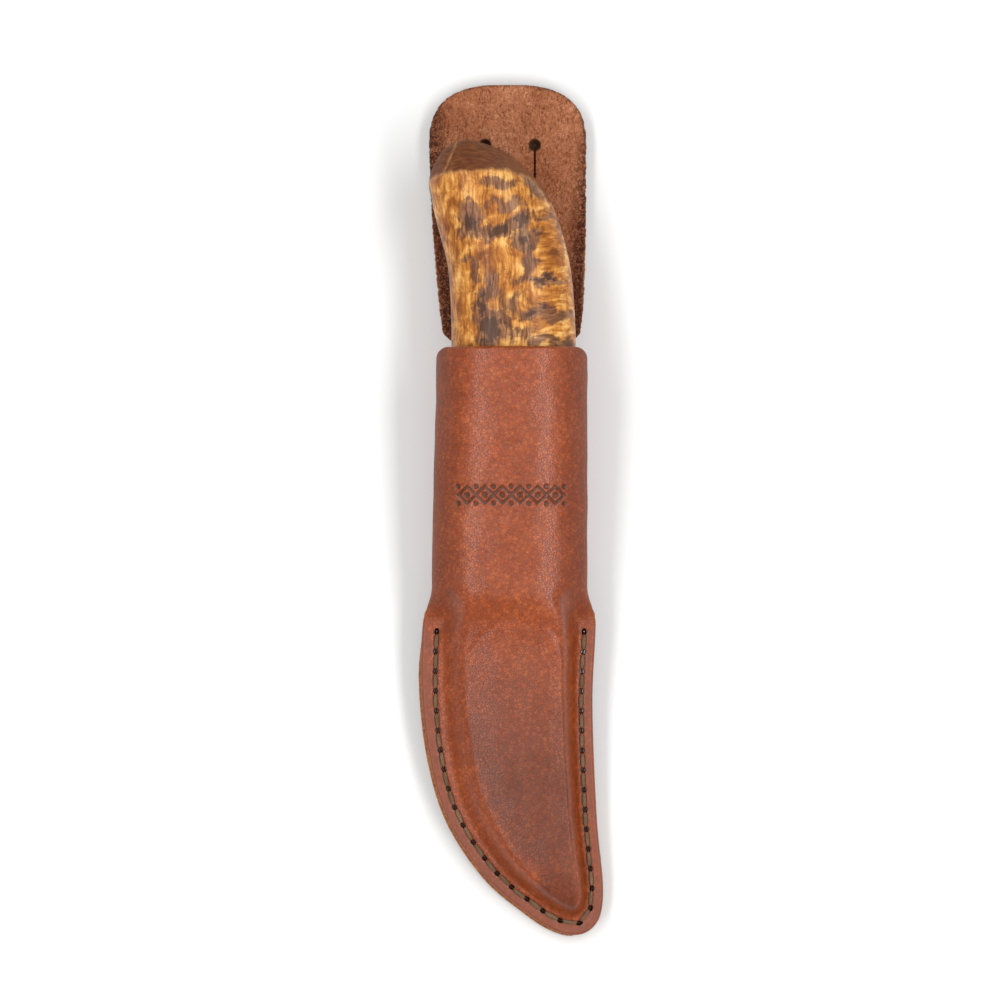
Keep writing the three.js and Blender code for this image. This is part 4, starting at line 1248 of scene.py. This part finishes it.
def back_panel():
    """The belt flap, the strip in the tube and the back of the blade's part, from the underside up."""
    q = np.linspace(-1, 1, BACK_ROW_POINTS)
    turn = np.radians(np.linspace(88.5, 1, 46))
    corner = FLAP_CORNER_Y + (FLAP_TOP_Y - FLAP_CORNER_Y) * np.sin(turn) ** (2 / FLAP_CORNER_POWER)
    levels = np.concatenate([corner, np.arange(FLAP_CORNER_Y - 0.4, RIB_Y + 0.2, -0.5)])
    rows, thicks = [], []
    for y in levels:
        row, thick = back_row(y, q)
        rows.append(at_level(row, y))
        thicks.append(thick)
    for left, right in ribs():
        proud = left + np.array([-BACK_PROUD, -0.5 * BACK_PROUD]) * ease(RIB_Y, RIB_Y - 12, left[1])
        plan = mix(right, proud, ((q + 1) / 2)[:, None])
        rows.append(np.column_stack([plan, seat_z(plan[:, 1])]))
        thicks.append(np.full(len(q), FLANGE_LEATHER))
    under = np.stack([spread(row, len(q) // 2) for row in rows])
    top = under.copy()
    for i, (row, thick) in enumerate(zip(rows, thicks)):
        along, along_row = lengths_along(under[i]), lengths_along(row)
        thick = np.interp(along / along[-1], along_row / along_row[-1], thick)
        if i < len(levels):
            top[i][:, [0, 2]] = offset_row(under[i][:, [0, 2]], thick)
        else:
            top[i][:, 2] += thick
    x, y = under[:, :, 0], under[:, :, 1]
    edge = from_row_ends(under)
    outline = flap_outline()
    high = y > FLAP_CORNER_Y - 3
    edge[high] = distance_to(outline, x[high], y[high])
    below = y <= RIB_Y + 1e-6
    edge[below] = np.minimum(edge[below], distance_to(LOWER_OUTLINE, x[below], y[below]) + BACK_PROUD / 2)
    up = top - under
    up = up / np.linalg.norm(up, axis=2)[:, :, None]
    # The flap's face is uneven and its edge a little ragged.
    flap = ease(MOUTH_Y - 5, MOUTH_Y + 8, y)
    rough_top = (0.06 * waves(x, y, 13, 5) + 0.05 * waves(x, y, 14, 1.6)) * flap * ease(0, 1.5, edge)
    ragged = (waves(x, y, 11, 2.3) * 0.04 + waves(x, y, 12, 0.9) * 0.09) * ease(1.2, 0.0, edge) * flap
    ragged = ragged * np.sign(x - FLAP_MIDDLE_X)
    top = top + up * (rough_top - rounding(edge, BACK_ROUND))[:, :, None]
    under = under + up * rounding(edge, BACK_UNDER_ROUND)[:, :, None]
    for face in (top, under):
        face[:, :, 0] += ragged
    piece = thick_sheet("back_leather", top, under, [SUEDE, GRAIN, CUT])
    cutters = [slit_cutter(x) for x in SLIT_X]
    cutters += [
        groove_cutter(SEAM_HOLES, -CLEAR / 2, GROOVE_DEEP, seat_z),
        awl_cutter(SEAM_HOLES, -CLEAR, FLANGE_LEATHER + 0.6, seat_z, share=AWL_BACK),
    ]
    for spots in WING_HOLES.values():
        cutters += [
            groove_cutter(spots, STRIP_TOP_Z - GROOVE_DEEP, STRIP_TOP_Z + CLEAR),
            awl_cutter(spots, FRONT_LEATHER - CLEAR / 2, STRIP_TOP_Z + CLEAR),
        ]
    cut(piece, cutters)
    x, y = corners_of(piece)[:, :2].T
    edge = distance_to(LOWER_OUTLINE, x, y)
    above = y > MOUTH_Y
    edge[above] = distance_to(outline, x[above], y[above])
    mark(piece, "edge", edge)
    mark_holes(piece)
    return piece


def flap_outline():
    """The flap's free edge in plan, from the mouth up the right side, over the top and down again."""
    turn = np.sin(np.linspace(0, math.pi / 2, 60)) ** 0.8
    corner = FLAP_CORNER_Y + (FLAP_TOP_Y + 0.1 - FLAP_CORNER_Y) * turn
    y = np.concatenate([np.linspace(MOUTH_Y - 2, FLAP_CORNER_Y - 1, 16), corner])
    left, right = flap_sides(y)
    return np.vstack([np.column_stack([right, y]), np.column_stack([left, y])[::-1]])


def slit_cutter(x):
    """A belt slit with a round punched hole at each end, which draws in towards the underside."""
    narrow = (SLIT_HOLE_LOW_R, SLIT_LOW_HALF)
    full = (SLIT_HOLE_R, SLIT_WIDTH / 2)
    loops = []
    for z, (radius, half) in zip((-CLEAR, STRIP_UNDER_Z, 5, 14), (narrow, narrow, full, full)):
        lean = math.asin(half / radius)
        ring = np.linspace(lean, 2 * math.pi - lean, 28)
        loop = []
        for end_y, reach in zip(SLIT_Y, (radius, -radius)):
            loop += [(x + reach * math.sin(a), end_y + reach * math.cos(a), z) for a in ring]
        loops.append(loop)
    return loft("cutter", loops, LEATHER, CUT_FACE)


# ---- The knife ----

# The dark figure of the wood: middle x and y in the knife's frame, half sizes, turn in degrees, strength.
FIGURE = [
    (-10.4, 93.2, 2.2, 3.4, 0, 1.0),
    (-3.4, 90.6, 3.0, 1.0, 14, 1.25),
    (1.8, 93.0, 2.0, 1.0, 20, 1.1),
    (3.5, 88.5, 2.2, 2.0, 40, 1.05),
    (-2.2, 97.2, 4.6, 1.3, 0, 0.75),
    (-3.0, 102.6, 4.6, 1.4, -6, 0.62),
    (6.4, 101.0, 3.2, 1.3, -38, 0.85),
    (9.6, 93.6, 4.0, 0.7, -16, 0.85),
    (8.0, 78.2, 5.2, 0.7, -4, 1.1),
    (4.0, 83.6, 1.2, 3.2, 12, 0.8),
    (-9.6, 81.6, 0.9, 3.2, 24, 0.8),
    (-5.0, 76.8, 1.3, 3.4, 18, 0.8),
    (-7.6, 74.4, 1.5, 1.1, 0, 1.1),
    (-8.0, 71.6, 1.0, 2.3, 6, 1.2),
    (-5.0, 66.6, 2.6, 2.5, -30, 1.25),
    (-7.0, 63.8, 2.2, 1.2, 30, 1.0),
    (0.0, 72.6, 2.4, 2.8, 0, 0.6),
    (0.5, 64.8, 4.2, 1.5, 6, 0.66),
    (5.4, 70.2, 1.7, 1.4, 30, 1.1),
    (11.0, 69.6, 5.2, 1.1, -6, 0.8),
    (9.4, 63.0, 5.4, 1.2, -14, 0.9),
]
FIGURE_SPREAD = 1.3
FIGURE_Y = (56, 62)
FIGURE_Z = (2, 5)


def figure_of(points):
    """How dark the wood's figure is at points in the knife's frame."""
    x, y, z = points.T
    x, y = [
        at + 0.8 * waves(x, y, seed, 5) + 0.35 * waves(x, y, seed + 1, 1.8)
        for at, seed in ((x, 22), (y, 24))
    ]
    total = np.zeros(len(points))
    for *middle, half_x, half_y, degrees, strength in FIGURE:
        run, off = turned(x, y, middle, degrees)
        a, b = run / (half_x * FIGURE_SPREAD), off / (half_y * FIGURE_SPREAD)
        total = np.maximum(total, strength * np.exp(-(a * a + b * b) * 0.55))
    # Only the front near the butt has the patches of the list; the rest is figured at random.
    shown = ease(*FIGURE_Y, y) * ease(*FIGURE_Z, z)
    other = np.clip(waves(x + z, y * 1.6 - z, 21, 11) * 0.6 + 0.1, 0, 1.1)
    return mix(other, total, shown)


# Where the butt's front facets start, by x in the knife's frame, and how thin they leave its end.
butt_crease = through([
    (-20.5, 103.0), (-17, 104.7), (-13.6, 105.3), (-5.5, 105.7), (-1.5, 105.5), (1.25, 104.3),
    (5.4, 102.2), (9, 97),
])
BUTT_END_SHARE = 0.22
SIDE_FACET = ((-16.9, 105), (-13.6, HANDLE_LENGTH))  # the ridge between the left facet and the middle one
SIDE_FACET_DROP = 0.16  # of the height, for each millimetre left of that ridge
BUTT_Y = (88, 96)  # the marks of the butt fade in between these
HOOK_Y = 84  # past here, the sections turn with the butt's hook
HOOK_SECTIONS = 110
HOOK_REACH = 0.999  # the last section stops just short of the tip, where it would have no size
HANDLE_SIDES = 144
HANDLE_ROUND = 1.8


def butt_share(x, y):
    """How much of the handle's height the butt's facets leave, at a point in the knife's frame."""
    top = HANDLE_LENGTH - 0.028 * (x + 12) ** 2
    crease = butt_crease(x)
    past = np.clip((y - crease) / np.maximum(top - crease, 1.5), 0, 1)
    main = 1 - (1 - BUTT_END_SHARE) * past
    (ax, ay), (bx, by) = SIDE_FACET
    left_of = (mix(ax, bx, (y - ay) / (by - ay)) - x) * ease(ay - 3, ay + 1, y)
    side = 1 - SIDE_FACET_DROP * np.maximum(0, left_of)
    return -0.02 * np.log(np.exp(-np.maximum(main, 0.1) / 0.02) + np.exp(-np.maximum(side, 0.1) / 0.02))


def facet_ridges(x, y, past):
    """1 along the ridges round and between the butt's facets, 0 away from them."""
    (ax, ay), (bx, by) = SIDE_FACET
    from_side = x - mix(ax, bx, (y - ay) / (by - ay))
    between = np.exp(-(from_side / 0.25) ** 2) * ease(-0.2, 0.2, past)
    return np.maximum(np.exp(-(past / 0.35) ** 2), between)


def handle():
    """The handle's cross-sections run from its front end to the butt, the last ones turning with its hook."""
    tip = int(np.argmax(HANDLE_OUTLINE[:, 1]))
    sides = HANDLE_OUTLINE[tip:][::-1], HANDLE_OUTLINE[:tip + 1]
    levels = np.concatenate([[0, 0.08, 0.2, 0.4, 0.65, 0.95, 1.3, 1.7], np.arange(2.2, HOOK_Y, 0.6)])
    ends = []
    for line in sides:
        straight = np.column_stack([np.interp(levels, line[:, 1], line[:, 0]), levels])
        line = line_above(line, HOOK_Y)
        along = lengths_along(line)
        share = np.sin(np.linspace(0, math.pi / 2, HOOK_SECTIONS)) * HOOK_REACH
        hook = resampled(line, share * along[-1], along)
        ends.append(np.vstack([straight, hook]))
    angle = np.linspace(0, 2 * math.pi, HANDLE_SIDES, endpoint=False)
    share = signed_power(np.sin(angle), 2 / HANDLE_POWER)
    height = signed_power(np.cos(angle), 2 / HANDLE_POWER)
    loops = []
    for a, b in zip(*ends):
        inset = float(rounding(a[1], HANDLE_ROUND))
        half = (b - a) / 2
        size = np.linalg.norm(half)
        half = half * (size - inset) / size
        plan = (a + b) / 2 + half * share[:, None]
        high = (handle_half(plan[:, 1]) - inset) * height
        loops.append(placed_knife(np.column_stack([plan, high * butt_share(plan[:, 0], plan[:, 1])])))
    piece = loft("birch_handle", loops, [WOOD], sharp=50)
    cut(piece, [bar_cutter(-CLEAR, BORE_LENGTH, BORE, BORE_END)])
    own = knife_frame(corners_of(piece))
    x, y, z = own.T
    mark(piece, "figure", figure_of(own))
    near_butt = ease(*BUTT_Y, y)
    past = y - butt_crease(x) + 0.25 * waves(x, y, 31, 3)
    mark(piece, "butt", ease(-0.35, 0.3, past) * near_butt)
    mark(piece, "ridge", facet_ridges(x, y, past) * near_butt * (z > 0))
    return piece


def line_above(line, level):
    """The last stretch of a line that lies above a level, which it may dip under before."""
    last_under = int(np.max(np.nonzero(line[:, 1] < level)[0]))
    a, b = line[last_under], line[last_under + 1]
    start = mix(a, b, (level - a[1]) / (b[1] - a[1]))
    return np.vstack([start[None], line[last_under + 1:]])


def knife_frame(points):
    """From the part's frame to the knife's own."""
    x, y, z = points.T
    y, z = y - KNIFE_Y, z - KNIFE_Z
    return np.column_stack([
        x, y * math.cos(LEAN) + z * math.sin(LEAN), z * math.cos(LEAN) - y * math.sin(LEAN)])


def bar_cutter(start, end, first, last):
    """A bar along the knife's axis, from one width and thickness to another."""
    loops = []
    for y, (width, thick) in ((start, first), (end, last)):
        corners = [(-1, -1), (1, -1), (1, 1), (-1, 1)]
        loops.append(placed_knife([(a * width / 2, y, b * thick / 2) for a, b in corners]))
    return loft("cutter", loops, [WOOD])


def blade():
    """The blade with its tang, in one. Its sections run from the tip to the handle."""
    tip = -BLADE_LENGTH + TIP_LENGTH * (1 - np.cos(np.linspace(0, math.pi / 2, 40)))
    levels = np.concatenate([tip, np.arange(-BLADE_LENGTH + TIP_LENGTH + 0.3, -GAP, 0.5), [-GAP]])
    share = np.linspace(0, 1, 7)
    loops = []
    for y in levels:
        back, edge, thick = float(blade_back(y)), float(blade_edge(y)), float(blade_thickness(y)) / 2
        bevel = mix(edge, back, BEVEL_SHARE)
        fine = min(BLADE_EDGE / 2, thick)
        slim = thick * 0.92
        ease_back = min(0.35, (back - bevel) / 3, thick / 2)
        face = [(mix(edge, bevel, t), mix(fine, thick, t)) for t in share]
        face += [(mix(bevel, back - ease_back, t), mix(thick, slim, t)) for t in share[1:]]
        face += [(back, slim - ease_back)]
        loops.append(placed_knife([(x, y, z) for x, z in face] + [(x, y, -z) for x, z in face[::-1]]))
    piece = loft("forged_blade", loops, [STEEL])
    cut(piece, [bar_cutter(-2, TANG_LENGTH, TANG, TANG_END)], "UNION")
    shade(piece, 12)
    x, y, z = knife_frame(corners_of(piece)).T
    bevel = mix(blade_edge(y), blade_back(y), BEVEL_SHARE)
    mark(piece, "ground", ease(0.05, -0.05, x - bevel) * (y < -0.2))
    return piece


# ---- The camera, the floor and the light ----

VIEW_CENTRE = (-3, 2.5)
VIEW_WIDTH = 250
VIEW_LENS = 500
SENSOR = 36
AIM_Z = 4  # the height at which the view is VIEW_WIDTH wide
FLOOR_HALF = 3000
LIGHT_AIM_Z = 10
WORLD = 0.41


def place_camera():
    """A long lens straight above, far enough for the view's width."""
    data = bpy.data.cameras.new("camera")
    data.lens = VIEW_LENS
    data.sensor_width = SENSOR
    data.clip_start = 0.05
    data.clip_end = 20
    camera = linked("camera", data)
    away = VIEW_WIDTH * VIEW_LENS / SENSOR + AIM_Z
    camera.location = [v * MM for v in (*VIEW_CENTRE, away)]
    bpy.context.scene.camera = camera


def place_floor():
    points = [(-FLOOR_HALF, -FLOOR_HALF, 0), (FLOOR_HALF, -FLOOR_HALF, 0)]
    points += [(FLOOR_HALF, FLOOR_HALF, 0), (-FLOOR_HALF, FLOOR_HALF, 0)]
    finish = Finish("floor").done((0.885, 0.90, 0.90), 0.9, specular_ior_level=0.1)
    floor = new_piece("floor", points, [(0, 1, 2, 3)], [finish])


def soft_light(name, place, size, power):
    """A soft box aimed at the sheath."""
    data = bpy.data.lights.new(name, "AREA")
    data.shape = "RECTANGLE"
    data.size, data.size_y = (side * MM for side in size)
    data.energy = power
    light = linked(name, data)
    light.location = [v * MM for v in place]
    way = light.location.copy()
    way.z -= LIGHT_AIM_Z * MM
    light.rotation_euler = way.to_track_quat("Z", "Y").to_euler()


def place_light():
    """An even white surround, and three soft boxes."""
    world = bpy.data.worlds.new("world")
    world.use_nodes = True
    background = world.node_tree.nodes["Background"]
    background.inputs["Color"].default_value = (1, 1, 1, 1)
    background.inputs["Strength"].default_value = WORLD
    bpy.context.scene.world = world
    soft_light("top_box", (0, 0, 800), (500, 900), 0.45)
    soft_light("left_box", (-285, 0, 615), (900, 150), 2.45)
    soft_light("right_box", (320, 0, 600), (900, 150), 2.85)
    bpy.context.scene.view_settings.view_transform = "Standard"


# ---- The assembly ----

THREAD_PROUD = 0.32  # the seam's front thread lies this far above the flange
OFF_FLOOR = 0.15  # lifts the outer wing threads clear of the floor
DIP = 1.4  # how far a thread goes into its holes


def keep(piece, body, node):
    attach(piece, body)
    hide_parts(node)


def assemble():
    """Makes every piece and puts it in its CAD node's place."""
    keep(front_panel(), "sheath", "front_panel")
    keep(back_panel(), "sheath", "back_panel")
    run = FLANGE_HIGH + THREAD_PROUD
    keep(sewn_thread("seam_thread_top", SEAM_HOLES, run, run - 1.7, seat_z),
         "sheath", "seam_thread_front")
    in_groove = GROOVE_DEEP / 2
    keep(sewn_thread("seam_thread_under", SEAM_HOLES, in_groove + 0.05, in_groove + DIP, seat_z),
         "sheath", "seam_thread_back")
    sunk = STRIP_TOP_Z - in_groove
    for side, holes in WING_HOLES.items():
        keep(sewn_thread(f"{side}_tube_thread_outer", holes, in_groove + OFF_FLOOR, in_groove + DIP),
             "sheath", f"{side}_wing_thread_outer")
        keep(sewn_thread(f"{side}_tube_thread_inner", holes, sunk - 0.05, sunk - DIP),
             "sheath", f"{side}_wing_thread_inner")
    keep(handle(), "knife", "handle")
    keep(blade(), "knife", "blade")
    for node, finish in (("blade_liner", liner_plastic()), ("tang_epoxy", epoxy())):
        frame["nodes"][node].data.materials.clear()
        frame["nodes"][node].data.materials.append(finish)


place_camera()
place_floor()
place_light()
assemble()
